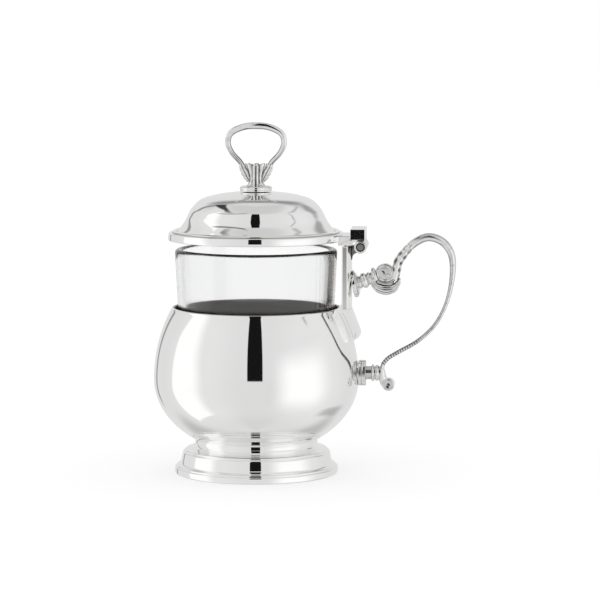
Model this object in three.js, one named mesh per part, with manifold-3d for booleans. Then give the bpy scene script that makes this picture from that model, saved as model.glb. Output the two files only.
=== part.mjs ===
// A silver-plated mustard pot: bulbous bowl on a stepped foot, glass liner, domed lid on a hinge post,
// scroll handle and a finger loop on the lid. Millimetres, +Z up, the foot stands on z = 0.
// Heights are above the table. Radii are from the pot's axis, which the whole pot is turned about.
// The handle and the hinge lie on the +X side, in the plane y = 0.
import * as THREE from "three";
import { mergeVertices } from "three/addons/utils/BufferGeometryUtils.js";
import Module from "manifold-3d";

const wasm = await Module();
wasm.setup();

// How finely round surfaces are divided
const POT_SIDES = 36;
const SMALL_SIDES = 18;
const BAR_SIDES = 10;
const BORE_SEGMENTS = 10;
const ARC_STEPS = 5;
const EDGE_STEPS = 3;
const BOWL_LOWER_STEPS = 8;
const BOWL_UPPER_STEPS = 5;
const DOME_STEPS = 9;
const SADDLE_STEPS = 5;
const SCROLL_STEPS = 22;
const ARM_STEPS = 40;
const TAIL_STEPS = 8;
const LOOP_STEPS = 32;
const MERGE_DISTANCE = 1e-4;

// Clearances
const SEAT_GAP = 0.3; // between a piece and the curved surface that it sits on
const PIN_CLEARANCE = 0.08; // radial, between the hinge pin and the knuckles
const STUD_CLEARANCE = 0.15; // radial, between the finial's stud and what it passes through
const KNUCKLE_GAP = 0.3; // along the pin, between neighbouring knuckles

// Foot: a band to stand on, a step, a drum, a shoulder and a neck
const FOOT_RADIUS = 26;
const FOOT_BAND_HEIGHT = 2.2;
const FOOT_BAND_WIDTH = 2.2;
const FOOT_BAND_ROUND = 0.5;
const FOOT_WALL = 1.1;
const STEP_INSET = 0.6;
const STEP_HEIGHT = 0.5;
const STEP_BEVEL = 0.3;
const DRUM_RADIUS = 24;
const DRUM_RISE = 1.5;
const DRUM_HEIGHT = 2.7;
const DRUM_TAPER = 0.5;
const SHOULDER_ROUND = 0.7;
const SHOULDER_RISE = 0.35;
const NECK_RADIUS = 18.8;
const NECK_COVE = 1.3;
const NECK_HEIGHT = 0.85;

// Collar between foot and bowl
const COLLAR_RADIUS = 20;
const COLLAR_HEIGHT = 1.25;
const COLLAR_EDGE = 0.25;

// Bowl: two half ellipses that share the widest circle, cut off at the mouth
const BOWL_RADIUS = 32.6;
const BOWL_LOWER_DEPTH = 23.9;
const BOWL_UPPER_HEIGHT = 40;
const BOWL_MOUTH_RISE = 22.6;
const BOWL_WALL = 1;
const BOWL_LIP = 0.35;

// Glass liner, from its base to its rim
const LINER_HEIGHT = 62.6;
const LINER_BASE_RADIUS = 11.5;
const LINER_MOUTH_GAP = 1.2;
const LINER_BELOW_MOUTH_TAPER = 2.1;
const LINER_FLARE = 0.9;
const LINER_CORNER_HEIGHT = 13.5;
const LINER_WALL = 2.4;
const LINER_FLOOR = 3.5;

// Lid
const LID_RIM_GAP = 2.7;
const FLANGE_OVERHANG = 2.2;
const FLANGE_HEIGHT = 2.5;
const FLANGE_WIDTH = 4.4;
const FLANGE_ROUND = 0.5;
const DOME_INSET = 3.1;
const DOME_HEIGHT = 13;
const DOME_WALL = 1;
const BEAD_RADIUS = 0.75;
const BEAD_GAP = 0.25;

// Hinge, and the strap that carries it behind the glass
const POST_STANDOFF = 1.8;
const POST_THICKNESS = 1.8;
const POST_WIDTH = 16;
const HINGE_STANDOFF = 2.9;
const HINGE_DROP = 1.6;
const HINGE_LENGTH = 16;
const MIDDLE_KNUCKLE_LENGTH = 5.6;
const KNUCKLE_RADIUS = 2;
const KNUCKLE_TAB_HALF_WIDTH = 1.4;
const GUSSET_DROP = 4.4;
const PIN_RADIUS = 1.2;
const PIN_RECESS = 0.5;
const LEAF_THICKNESS = 1;
const LEAF_LAP = 1.6;
const LEAF_BRIDGE_HEIGHT = 1.9;
const BLOCK_WIDTH = 4;
const BLOCK_HEIGHT = 3;
const BLOCK_BEVEL = 0.25;

// Saddle: the post's lower plate on the bowl's shoulder
const SADDLE_HEIGHT = 10;
const SADDLE_THICKNESS = 2.9;
const SADDLE_TOE_ROUND = 1.3;

// Handle: upper fixing, on an axis that rises from the post
const ROSETTE_TILT = THREE.MathUtils.degToRad(12);
const ROSETTE_RADIUS = 4.4;
const ROSETTE_BACK = 2.2;
const ROSETTE_DOME = 1.2;
const ROSETTE_RIM = 0.3;
const UPPER_STEM_TILT = THREE.MathUtils.degToRad(20);
const UPPER_STEM_RISE = 0.5;
const UPPER_STEM_RADIUS = 1.8;
const UPPER_STEM_LENGTH = 3.6;
const UPPER_RING_RADIUS = 2.5;
const RING_STEP = 0.2;

// Handle: scroll, with its eye and the web behind it
const SCROLL_HALF_WIDTH = 4.4;
const SCROLL_EYE_RISE = 1.7;
const SCROLL_EYE_RADIUS = 1.65;
const SCROLL_EYE_DEPTH = 5.8;
const BUTTON_ROUND_SHARE = 0.3;
const SCROLL_DEPTH = 4.8;
const SCROLL_WEB_RADIUS = 3.2;
const SCROLL_WEB_DEPTH = 2.6;
const SCROLL_WEB_DROP = 1.6;

// Handle: arm
const ARM_REACH = 21.4;
const ARM_ARCH_THICKNESS = 2.6;
const ARM_TIP_THICKNESS = 1.3;
const ARM_ARCH_DEPTH = 4.6;
const ARM_TIP_DEPTH = 3;
const ARM_END_GAP = 0.3;

// Handle: lower fixing
const LOWER_RISE = 2.1;
const DISC_RADIUS = 4.1;
const WASHER_THICKNESS = 0.7;
const LOWER_FLANGE_THICKNESS = 1.2;
const LOWER_STEM_RADIUS = 2.1;
const LOWER_STEM_LENGTH = 4.4;
const LOWER_RING_RADIUS = 2.7;
const TAIL_REACH = 2;
const TAIL_DROP = 3.6;
const TAIL_BOSS_RADIUS = 2;
const TAIL_BOSS_DEPTH = 4;
const TAIL_BOSS_ROUND = 0.5;
const TAIL_DIMPLE_RADIUS = 0.55;
const TAIL_DIMPLE_DEPTH = 0.6;

// Finial
const FINIAL_DISC_RADIUS = 5.15;
const FINIAL_DISC_HEIGHT = 1.35;
const FINIAL_STEP_RADIUS = 3.6;
const STUD_RADIUS = 1.4;
const STUD_SPARE = 0.8;
const NUT_ACROSS = 6;
const NUT_HEIGHT = 2;
const CALYX_HEIGHT = 6.8;
const CALYX_FOOT_RADIUS = 3;
const CALYX_NECK_RADIUS = 2.7;
const CALYX_LEAF_RADIUS = 3.7;
const CALYX_WAIST_RADIUS = 3.3;
const CALYX_CUP_RADIUS = 4.1;
const CALYX_TOP_RADIUS = 5.6;
const CALYX_RIM = 0.6;
const CALYX_DEPTH_SHARE = 0.62;
const LOOP_HALF_WIDTH = 8.9;
const LOOP_HEIGHT = 11.9;
const LOOP_FOOT_X = 4.6;
const LOOP_FOOT_RISE = 0.2;
const LOOP_SIDE_X = 7.6;
const LOOP_WIDEST_RISE = 6.4;
const LOOP_CORNER_INSET = 0.8;
const LOOP_CORNER_DROP = 2.5;
const LOOP_CROWN_DROP = 0.4;
const LOOP_TOP_THICKNESS = 2.2;
const LOOP_FOOT_THICKNESS = 1.4;

// Places of the foot and the bowl, from the table up
const DRUM_BOTTOM_Z = FOOT_BAND_HEIGHT + DRUM_RISE;
const DRUM_TOP_Z = DRUM_BOTTOM_Z + DRUM_HEIGHT;
const NECK_FOOT_Z = DRUM_TOP_Z + SHOULDER_ROUND + SHOULDER_RISE;
const NECK_TOP_Z = NECK_FOOT_Z + NECK_COVE + NECK_HEIGHT;
const COLLAR_TOP_Z = NECK_TOP_Z + COLLAR_HEIGHT;
const COLLAR_DEPTH_SHARE = Math.sqrt(1 - (COLLAR_RADIUS / BOWL_RADIUS) ** 2);
const BOWL_WIDEST_Z = COLLAR_TOP_Z + SEAT_GAP + BOWL_LOWER_DEPTH * COLLAR_DEPTH_SHARE;
const BOWL_MOUTH_Z = BOWL_WIDEST_Z + BOWL_MOUTH_RISE;

// The bowl's radius at a height, and the height of its lower half at a radius. The inset is 0 for the
// outer surface and the wall for the inner one.
function bowlRadiusAt(z, inset = 0) {
  const reach = z < BOWL_WIDEST_Z ? BOWL_LOWER_DEPTH - inset : BOWL_UPPER_HEIGHT;
  return (BOWL_RADIUS - inset) * Math.sqrt(1 - ((z - BOWL_WIDEST_Z) / reach) ** 2);
}

function bowlFloorAt(radius, inset = 0) {
  const share = radius / (BOWL_RADIUS - inset);
  return BOWL_WIDEST_Z - (BOWL_LOWER_DEPTH - inset) * Math.sqrt(1 - share ** 2);
}

// Places of the liner, which stands on the bowl's floor
const LINER_BASE_Z = bowlFloorAt(LINER_BASE_RADIUS, BOWL_WALL) + SEAT_GAP;
const LINER_TOP_Z = LINER_BASE_Z + LINER_HEIGHT;
const LINER_MOUTH_RADIUS = bowlRadiusAt(BOWL_MOUTH_Z, BOWL_WALL) - LINER_MOUTH_GAP;
const LINER_CORNER_RADIUS = LINER_MOUTH_RADIUS - LINER_BELOW_MOUTH_TAPER;
const LINER_RIM_RADIUS = LINER_MOUTH_RADIUS + LINER_FLARE;

// Places of the lid, whose flange hangs just over the liner's rim
const FLANGE_BOTTOM_Z = LINER_TOP_Z + LID_RIM_GAP;
const FLANGE_TOP_Z = FLANGE_BOTTOM_Z + FLANGE_HEIGHT;
const FLANGE_RADIUS = LINER_RIM_RADIUS + FLANGE_OVERHANG;
const FLANGE_INNER_RADIUS = FLANGE_RADIUS - FLANGE_WIDTH;
const DOME_RADIUS = FLANGE_RADIUS - DOME_INSET;
const DOME_TOP_Z = FLANGE_TOP_Z + DOME_HEIGHT;
const FINIAL_BASE_Z = DOME_TOP_Z + SEAT_GAP;
const NUT_BOTTOM_Z = DOME_TOP_Z - DOME_WALL - 2 * SEAT_GAP - NUT_HEIGHT;
const CALYX_BASE_Z = FINIAL_BASE_Z + FINIAL_DISC_HEIGHT;
const CALYX_TOP_Z = CALYX_BASE_Z + CALYX_HEIGHT;
const LOOP_BASE_Z = CALYX_TOP_Z + SEAT_GAP;
const LOOP_TOP_Z = LOOP_BASE_Z + LOOP_HEIGHT;

// Places of the post and the hinge, outside the bowl's mouth and the flange
const POST_INNER_RADIUS = bowlRadiusAt(BOWL_MOUTH_Z) + POST_STANDOFF;
const POST_OUTER_RADIUS = POST_INNER_RADIUS + POST_THICKNESS;
const SADDLE_TOP_Z = BOWL_MOUTH_Z + BOWL_LIP;
const SADDLE_BOTTOM_Z = SADDLE_TOP_Z - SADDLE_HEIGHT;
const HINGE_X = POST_OUTER_RADIUS + HINGE_STANDOFF;
const HINGE_Z = FLANGE_BOTTOM_Z - HINGE_DROP;
const GUSSET_FOOT_Z = HINGE_Z - GUSSET_DROP;
const BLOCK_BOTTOM_Z = HINGE_Z + KNUCKLE_RADIUS + KNUCKLE_GAP;
const BLOCK_RIGHT_X = HINGE_X + KNUCKLE_TAB_HALF_WIDTH;
const BLOCK_LEFT_X = BLOCK_RIGHT_X - BLOCK_WIDTH;
const LEAF_BOTTOM_Z = FLANGE_BOTTOM_Z - LEAF_THICKNESS;
const POST_TOP_Z = LEAF_BOTTOM_Z - SEAT_GAP;
const LID_KNUCKLE_LENGTH = (HINGE_LENGTH - MIDDLE_KNUCKLE_LENGTH) / 2 - KNUCKLE_GAP;

// Places of the handle, from the post and the bowl outwards
const ROSETTE_X = POST_OUTER_RADIUS + SEAT_GAP + ROSETTE_RADIUS * Math.sin(ROSETTE_TILT);
const ROSETTE_Z = (SADDLE_TOP_Z + GUSSET_FOOT_Z) / 2;
const UPPER_STEM_X = ROSETTE_X + ROSETTE_DOME + SEAT_GAP;
const UPPER_STEM_Z = ROSETTE_Z + UPPER_STEM_RISE;
const UPPER_STEM_END_X = UPPER_STEM_X + UPPER_STEM_LENGTH * Math.cos(UPPER_STEM_TILT);
const UPPER_STEM_END_Z = UPPER_STEM_Z + UPPER_STEM_LENGTH * Math.sin(UPPER_STEM_TILT);
const SCROLL_EYE_X = UPPER_STEM_END_X + SCROLL_HALF_WIDTH;
const SCROLL_EYE_Z = UPPER_STEM_END_Z + SCROLL_EYE_RISE;
const LOWER_Z = BOWL_WIDEST_Z + LOWER_RISE;
const LOWER_START_X = bowlRadiusAt(LOWER_Z) + SEAT_GAP;
const LOWER_STEM_X = LOWER_START_X + WASHER_THICKNESS + LOWER_FLANGE_THICKNESS;
const ARM_END_X = LOWER_STEM_X + LOWER_STEM_LENGTH + ARM_END_GAP + ARM_TIP_THICKNESS / 2;

// Materials
const metal = (color, roughness) => new THREE.MeshStandardMaterial({ color, roughness, metalness: 1 });
const silverSheet = () => metal(0xe2e3e6, 0.08);
const silverCasting = () => metal(0xd8d9dc, 0.16);
const hingeSteel = () => metal(0x8d8a88, 0.3);
const clearGlass = () => {
  const settings = { color: 0xf4f8f7, roughness: 0.02, metalness: 0, transparent: true, opacity: 0.35 };
  return new THREE.MeshStandardMaterial(settings);
};

// A closed geometry as a solid that can be joined and cut
function toSolid(geometry) {
  const bare = geometry.clone();
  bare.deleteAttribute("normal");
  bare.deleteAttribute("uv");
  const merged = mergeVertices(bare, MERGE_DISTANCE);
  const vertProperties = merged.attributes.position.array;
  const triVerts = new Uint32Array(merged.index.array);
  return new wasm.Manifold(new wasm.Mesh({ numProp: 3, vertProperties, triVerts }));
}

// A solid back as a geometry
function toGeometry(solid) {
  const mesh = solid.getMesh();
  const geometry = new THREE.BufferGeometry();
  geometry.setAttribute("position", new THREE.BufferAttribute(mesh.vertProperties, mesh.numProp));
  geometry.setIndex(new THREE.BufferAttribute(mesh.triVerts, 1));
  geometry.computeVertexNormals();
  return geometry;
}

function joined(...geometries) {
  return toGeometry(geometries.map(toSolid).reduce((whole, solid) => whole.add(solid)));
}

function common(first, second) {
  return toGeometry(toSolid(first).intersect(toSolid(second)));
}

function cut(body, tool) {
  return toGeometry(toSolid(body).subtract(toSolid(tool)));
}

function named(name, geometry, material) {
  const mesh = new THREE.Mesh(geometry, material);
  mesh.name = name;
  return mesh;
}

// A solid of revolution about +Z from [radius, height] points. Both ends are on the axis, or the outline
// closes on itself. The outline may run either way round.
function turned(points, sides = POT_SIDES) {
  const outline = points.map(([radius, height]) => new THREE.Vector2(radius, height));
  if (THREE.ShapeUtils.area(outline) < 0) outline.reverse();
  const onAxis = outline[0].x === 0 && outline.at(-1).x === 0;
  if (!onAxis) outline.push(outline[0].clone());
  const geometry = new THREE.LatheGeometry(outline, sides);
  geometry.rotateX(Math.PI / 2);
  return geometry;
}

// Points of an arc of an ellipse, from one angle to another in degrees, 0 being outwards and 90 up
function arc(centreR, centreZ, radiusR, radiusZ, from, to, steps = ARC_STEPS) {
  return Array.from({ length: steps + 1 }, (_, i) => {
    const angle = THREE.MathUtils.degToRad(from + ((to - from) * i) / steps);
    return [centreR + radiusR * Math.cos(angle), centreZ + radiusZ * Math.sin(angle)];
  });
}

// An outline in x and z, given as a Shape in x and y, extruded along y and centred there
function extrudedAlongY(shape, depth) {
  const settings = { depth, bevelEnabled: false, curveSegments: BORE_SEGMENTS };
  const geometry = new THREE.ExtrudeGeometry(shape, settings);
  geometry.translate(0, 0, -depth / 2);
  geometry.rotateX(Math.PI / 2);
  return geometry;
}

// A bar swept along a curve in the plane y = 0. sizeAt gives its thickness in that plane and its depth
// along y at a share of the curve's length. Both ends are closed flat.
function sweptBar(curve, steps, sizeAt, sides = BAR_SIDES) {
  const positions = [];
  const index = [];
  const point = (centre, across, thickness, depth, angle) => {
    const reach = (thickness / 2) * Math.cos(angle);
    const side = (depth / 2) * Math.sin(angle);
    positions.push(centre.x + across.x * reach, side, centre.z + across.z * reach);
  };
  for (let i = 0; i <= steps; i++) {
    const share = i / steps;
    const centre = curve.getPointAt(share);
    const tangent = curve.getTangentAt(share);
    const across = new THREE.Vector3(tangent.z, 0, -tangent.x);
    const [thickness, depth] = sizeAt(share);
    for (let k = 0; k < sides; k++) point(centre, across, thickness, depth, (2 * Math.PI * k) / sides);
  }
  for (let i = 0; i < steps; i++) {
    for (let k = 0; k < sides; k++) {
      const next = (k + 1) % sides;
      const [a, b, c, d] = [i * sides + k, i * sides + next, (i + 1) * sides + next, (i + 1) * sides + k];
      index.push(a, b, c, a, c, d);
    }
  }
  const last = steps * sides;
  for (let k = 1; k < sides - 1; k++) {
    index.push(0, k + 1, k);
    index.push(last, last + k, last + k + 1);
  }
  const geometry = new THREE.BufferGeometry();
  geometry.setAttribute("position", new THREE.Float32BufferAttribute(positions, 3));
  geometry.setIndex(index);
  geometry.computeVertexNormals();
  return toSolid(geometry).volume() < 0 ? turnedInsideOut(geometry) : geometry;
}

function turnedInsideOut(geometry) {
  const index = Array.from(geometry.index.array);
  for (let i = 0; i < index.length; i += 3) [index[i + 1], index[i + 2]] = [index[i + 2], index[i + 1]];
  geometry.setIndex(index);
  geometry.computeVertexNormals();
  return geometry;
}

// A smooth curve in the plane y = 0 through [x, z] points
function curveThrough(points) {
  return new THREE.CatmullRomCurve3(points.map(([x, z]) => new THREE.Vector3(x, 0, z)));
}

// A value that changes smoothly through evenly spaced values
function blendOf(values, share) {
  const at = Math.min(share, 1 - 1e-9) * (values.length - 1);
  const from = Math.floor(at);
  return THREE.MathUtils.lerp(values[from], values[from + 1], THREE.MathUtils.smoothstep(at - from, 0, 1));
}

// The part of a ring that lies within a width centred on +X
function sectorOf(ring, width) {
  ring.computeBoundingBox();
  const { x, z } = ring.boundingBox.max;
  const slab = new THREE.BoxGeometry(x, width, 2 * z);
  slab.translate(x, 0, z);
  return common(ring, slab);
}

function bowl() {
  const mouthAngle = THREE.MathUtils.radToDeg(Math.asin(BOWL_MOUTH_RISE / BOWL_UPPER_HEIGHT));
  const side = (inset) => {
    const radius = BOWL_RADIUS - inset;
    const lower = arc(0, BOWL_WIDEST_Z, radius, BOWL_LOWER_DEPTH - inset, -90, 0, BOWL_LOWER_STEPS);
    const upper = arc(0, BOWL_WIDEST_Z, radius, BOWL_UPPER_HEIGHT, 0, mouthAngle, BOWL_UPPER_STEPS);
    lower[0][0] = 0;
    return [...lower, ...upper.slice(1)];
  };
  const lip = [bowlRadiusAt(BOWL_MOUTH_Z, BOWL_WALL / 2), BOWL_MOUTH_Z + BOWL_LIP];
  return named("bowl", turned([...side(0), lip, ...side(BOWL_WALL).reverse()]), silverSheet());
}

// The band that the pot stands on: a flat ring below, with its outer corners rounded
function footWire() {
  const inner = FOOT_RADIUS - FOOT_BAND_WIDTH;
  const round = FOOT_BAND_ROUND;
  const outline = [
    [inner, 0],
    ...arc(FOOT_RADIUS - round, round, round, round, -90, 0, EDGE_STEPS),
    ...arc(FOOT_RADIUS - round, FOOT_BAND_HEIGHT - round, round, round, 0, 90, EDGE_STEPS),
    [inner, FOOT_BAND_HEIGHT],
  ];
  return named("foot_wire", turned(outline), silverSheet());
}

// The stepped foot, a shell that is open below and carries the collar on its neck
function foot() {
  const step = FOOT_RADIUS - STEP_INSET;
  const drumTop = DRUM_RADIUS - DRUM_TAPER;
  const edge = [drumTop - SHOULDER_ROUND, DRUM_TOP_Z, SHOULDER_ROUND, SHOULDER_ROUND];
  const cove = [NECK_RADIUS + NECK_COVE, NECK_FOOT_Z + NECK_COVE, NECK_COVE, NECK_COVE];
  const outer = [
    [step, FOOT_BAND_HEIGHT],
    [step - STEP_BEVEL, FOOT_BAND_HEIGHT + STEP_HEIGHT],
    [DRUM_RADIUS + STEP_BEVEL, DRUM_BOTTOM_Z - STEP_BEVEL],
    [DRUM_RADIUS, DRUM_BOTTOM_Z],
    ...arc(...edge, 0, 75, EDGE_STEPS),
    ...arc(...cove, 270, 180, EDGE_STEPS),
    [NECK_RADIUS, NECK_TOP_Z],
  ];
  const inner = [
    [NECK_RADIUS - FOOT_WALL, NECK_TOP_Z],
    [NECK_RADIUS - FOOT_WALL, NECK_FOOT_Z - FOOT_WALL + NECK_COVE],
    [NECK_RADIUS - FOOT_WALL + NECK_COVE, NECK_FOOT_Z - FOOT_WALL],
    [drumTop - FOOT_WALL - SHOULDER_ROUND, NECK_FOOT_Z - FOOT_WALL - SHOULDER_RISE],
    [drumTop - FOOT_WALL, DRUM_TOP_Z - FOOT_WALL],
    [DRUM_RADIUS - FOOT_WALL, DRUM_BOTTOM_Z - STEP_HEIGHT],
    [DRUM_RADIUS - FOOT_WALL, FOOT_BAND_HEIGHT],
  ];
  return named("foot", turned([...outer, ...inner]), silverSheet());
}

// A ring on the neck, its top hollowed to the bowl that rests on it
function collarBead() {
  const round = COLLAR_HEIGHT / 2;
  const inner = bowlRadiusAt(NECK_TOP_Z + COLLAR_EDGE + SEAT_GAP);
  const outline = [
    [inner, NECK_TOP_Z],
    [COLLAR_RADIUS - round, NECK_TOP_Z],
    [COLLAR_RADIUS, NECK_TOP_Z + round],
    [COLLAR_RADIUS, COLLAR_TOP_Z],
    [inner, NECK_TOP_Z + COLLAR_EDGE],
  ];
  return named("collar_bead", turned(outline), silverSheet());
}

// The glass stands on the bowl's floor, clear of its wall, and widens a little to its rounded rim
function glassLiner() {
  const baseShare = LINER_BASE_RADIUS / LINER_CORNER_RADIUS;
  const baseAngle = THREE.MathUtils.radToDeg(Math.acos(baseShare));
  const cornerRise = LINER_CORNER_HEIGHT * Math.sqrt(1 - baseShare ** 2);
  const cornerZ = LINER_BASE_Z + cornerRise;
  const round = LINER_WALL / 2;
  const outer = arc(0, cornerZ, LINER_CORNER_RADIUS, LINER_CORNER_HEIGHT, -baseAngle, 0);
  const lip = arc(LINER_RIM_RADIUS - round, LINER_TOP_Z - round, round, round, 0, 180);
  const inner = arc(0, cornerZ, LINER_CORNER_RADIUS - LINER_WALL, cornerRise - LINER_FLOOR, 0, -90);
  inner.at(-1)[0] = 0;
  const outline = [
    [0, LINER_BASE_Z],
    ...outer,
    [LINER_MOUTH_RADIUS, BOWL_MOUTH_Z],
    ...lip,
    [LINER_MOUTH_RADIUS - LINER_WALL, BOWL_MOUTH_Z],
    ...inner,
  ];
  return named("glass_liner", turned(outline), clearGlass());
}

function potBody() {
  const group = new THREE.Group();
  group.add(footWire(), foot(), collarBead(), bowl());
  return group;
}

// The lid's flank, shoulder and crown in one smooth line, as shares of its radius and height
function domeCurve() {
  const shares = [
    [1, 0],
    [0.92, 0.31],
    [0.83, 0.57],
    [0.715, 0.785],
    [0.54, 0.9],
    [0.3, 0.97],
  ];
  const points = shares.map(([r, h]) => new THREE.Vector2(r * DOME_RADIUS, FLANGE_TOP_Z + h * DOME_HEIGHT));
  points.push(new THREE.Vector2(STUD_RADIUS + STUD_CLEARANCE, DOME_TOP_Z));
  return new THREE.SplineCurve(points);
}

function lidDome() {
  const curve = domeCurve();
  const outer = curve.getPoints(DOME_STEPS);
  const inner = outer.map((point, i) => {
    const tangent = curve.getTangent(i / DOME_STEPS);
    return new THREE.Vector2(point.x - DOME_WALL * tangent.y, point.y + DOME_WALL * tangent.x);
  });
  inner[0].set(DOME_RADIUS - DOME_WALL, FLANGE_TOP_Z);
  inner.at(-1).set(STUD_RADIUS + STUD_CLEARANCE, DOME_TOP_Z - DOME_WALL);
  const outline = [...outer, ...inner.reverse()].map((point) => [point.x, point.y]);
  return named("lid_dome", turned(outline), silverSheet());
}

function lidFlange() {
  const round = FLANGE_ROUND;
  const outline = [
    [FLANGE_INNER_RADIUS, FLANGE_BOTTOM_Z],
    [FLANGE_RADIUS - round / 2, FLANGE_BOTTOM_Z],
    [FLANGE_RADIUS, FLANGE_BOTTOM_Z + round / 2],
    ...arc(FLANGE_RADIUS - round, FLANGE_TOP_Z - round, round, round, 0, 90, EDGE_STEPS),
    [FLANGE_INNER_RADIUS, FLANGE_TOP_Z],
  ];
  return named("lid_flange", turned(outline), silverSheet());
}

// A half-round wire on the flange, round the foot of the dome
function lidBead() {
  const centre = DOME_RADIUS + BEAD_GAP + BEAD_RADIUS;
  const outline = arc(centre, FLANGE_TOP_Z, BEAD_RADIUS, BEAD_RADIUS, 0, 180);
  outline.at(-1)[1] = FLANGE_TOP_Z;
  return named("lid_bead", turned(outline), silverSheet());
}

// The hinge's bore, as a hole in a knuckle's outline
function pinHole() {
  return new THREE.Path().absarc(HINGE_X, HINGE_Z, PIN_RADIUS + PIN_CLEARANCE, 0, 2 * Math.PI, true);
}

// The lid's knuckles: round below, with a square tab that reaches up to the block
function lidKnuckle(name, side) {
  const tabAngle = Math.acos(KNUCKLE_TAB_HALF_WIDTH / KNUCKLE_RADIUS);
  const shape = new THREE.Shape();
  shape.moveTo(BLOCK_RIGHT_X, BLOCK_BOTTOM_Z);
  shape.lineTo(HINGE_X - KNUCKLE_TAB_HALF_WIDTH, BLOCK_BOTTOM_Z);
  shape.absarc(HINGE_X, HINGE_Z, KNUCKLE_RADIUS, Math.PI - tabAngle, 2 * Math.PI + tabAngle, false);
  shape.closePath();
  shape.holes.push(pinHole());
  const knuckle = named(name, extrudedAlongY(shape, LID_KNUCKLE_LENGTH), silverCasting());
  knuckle.position.y = (side * (HINGE_LENGTH - LID_KNUCKLE_LENGTH)) / 2;
  return knuckle;
}

// The post's middle knuckle, with a curved gusset down to the post's outer face
function postKnuckle() {
  const lowZ = HINGE_Z - KNUCKLE_RADIUS;
  const shape = new THREE.Shape();
  shape.moveTo(HINGE_X, HINGE_Z + KNUCKLE_RADIUS);
  shape.absarc(HINGE_X, HINGE_Z, KNUCKLE_RADIUS, Math.PI / 2, Math.PI, false);
  shape.lineTo(POST_OUTER_RADIUS, HINGE_Z);
  shape.lineTo(POST_OUTER_RADIUS, GUSSET_FOOT_Z);
  shape.quadraticCurveTo(POST_OUTER_RADIUS, lowZ, HINGE_X, lowZ);
  shape.absarc(HINGE_X, HINGE_Z, KNUCKLE_RADIUS, -Math.PI / 2, Math.PI / 2, false);
  shape.closePath();
  shape.holes.push(pinHole());
  return named("post_knuckle", extrudedAlongY(shape, MIDDLE_KNUCKLE_LENGTH), silverCasting());
}

function hingePin() {
  const length = HINGE_LENGTH - 2 * PIN_RECESS;
  const geometry = new THREE.CylinderGeometry(PIN_RADIUS, PIN_RADIUS, length, 2 * BORE_SEGMENTS);
  const pin = named("hinge_pin", geometry, hingeSteel());
  pin.position.set(HINGE_X, 0, HINGE_Z);
  return pin;
}

// The curved strap behind the glass
function hingePost() {
  const ring = turned([
    [POST_INNER_RADIUS, SADDLE_TOP_Z],
    [POST_OUTER_RADIUS, SADDLE_TOP_Z],
    [POST_OUTER_RADIUS, POST_TOP_Z],
    [POST_INNER_RADIUS, POST_TOP_Z],
  ]);
  return named("hinge_post", sectorOf(ring, POST_WIDTH), silverSheet());
}

// The plate under the strap, lying on the bowl's shoulder
function postSaddle() {
  const inner = Array.from({ length: SADDLE_STEPS + 1 }, (_, i) => {
    const z = THREE.MathUtils.lerp(SADDLE_BOTTOM_Z, BOWL_MOUTH_Z, i / SADDLE_STEPS);
    return [bowlRadiusAt(z) + SEAT_GAP, z];
  });
  const toeZ = SADDLE_BOTTOM_Z + SADDLE_TOE_ROUND;
  const toeRadius = bowlRadiusAt(toeZ) + SADDLE_THICKNESS;
  const outer = [
    [POST_OUTER_RADIUS, SADDLE_TOP_Z],
    [toeRadius, toeZ + SADDLE_TOE_ROUND],
    [toeRadius, toeZ],
    [toeRadius - SADDLE_TOE_ROUND, SADDLE_BOTTOM_Z],
  ];
  const ring = turned([...inner, [inner.at(-1)[0], SADDLE_TOP_Z], ...outer]);
  return named("post_saddle", sectorOf(ring, POST_WIDTH), silverSheet());
}

// The leaf laps under the flange and bridges to the block
function lidLeaf() {
  const bridgeX = FLANGE_RADIUS + SEAT_GAP;
  const bridgeTopZ = FLANGE_BOTTOM_Z + LEAF_BRIDGE_HEIGHT;
  const shape = new THREE.Shape();
  shape.moveTo(FLANGE_RADIUS - LEAF_LAP, LEAF_BOTTOM_Z);
  shape.lineTo(BLOCK_LEFT_X, LEAF_BOTTOM_Z);
  shape.lineTo(BLOCK_LEFT_X, bridgeTopZ);
  shape.lineTo(bridgeX, bridgeTopZ);
  shape.lineTo(bridgeX, FLANGE_BOTTOM_Z);
  shape.lineTo(FLANGE_RADIUS - LEAF_LAP, FLANGE_BOTTOM_Z);
  shape.closePath();
  return named("lid_leaf", extrudedAlongY(shape, HINGE_LENGTH), silverCasting());
}

// The square block over the hinge, a little chamfered along its upper edges
function thumbBlock() {
  const topZ = BLOCK_BOTTOM_Z + BLOCK_HEIGHT;
  const shape = new THREE.Shape();
  shape.moveTo(BLOCK_LEFT_X, BLOCK_BOTTOM_Z);
  shape.lineTo(BLOCK_RIGHT_X, BLOCK_BOTTOM_Z);
  shape.lineTo(BLOCK_RIGHT_X, topZ - BLOCK_BEVEL);
  shape.lineTo(BLOCK_RIGHT_X - BLOCK_BEVEL, topZ);
  shape.lineTo(BLOCK_LEFT_X + BLOCK_BEVEL, topZ);
  shape.lineTo(BLOCK_LEFT_X, topZ - BLOCK_BEVEL);
  shape.closePath();
  return named("thumb_block", extrudedAlongY(shape, HINGE_LENGTH), silverCasting());
}

function hingeOnPost() {
  const group = new THREE.Group();
  group.add(postSaddle(), hingePost(), postKnuckle(), hingePin());
  return group;
}

// A turned piece whose own axis lies in the handle's plane, tilted up from +X
function alongHandle(mesh, x, z, tilt) {
  mesh.rotation.y = Math.PI / 2 - tilt;
  mesh.position.set(x, 0, z);
  return mesh;
}

// A turned piece laid on its side, its axis along y, centred at a place in the handle's plane
function acrossHandle(geometry, x, z) {
  geometry.rotateX(Math.PI / 2);
  geometry.translate(x, 0, z);
  return geometry;
}

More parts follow.
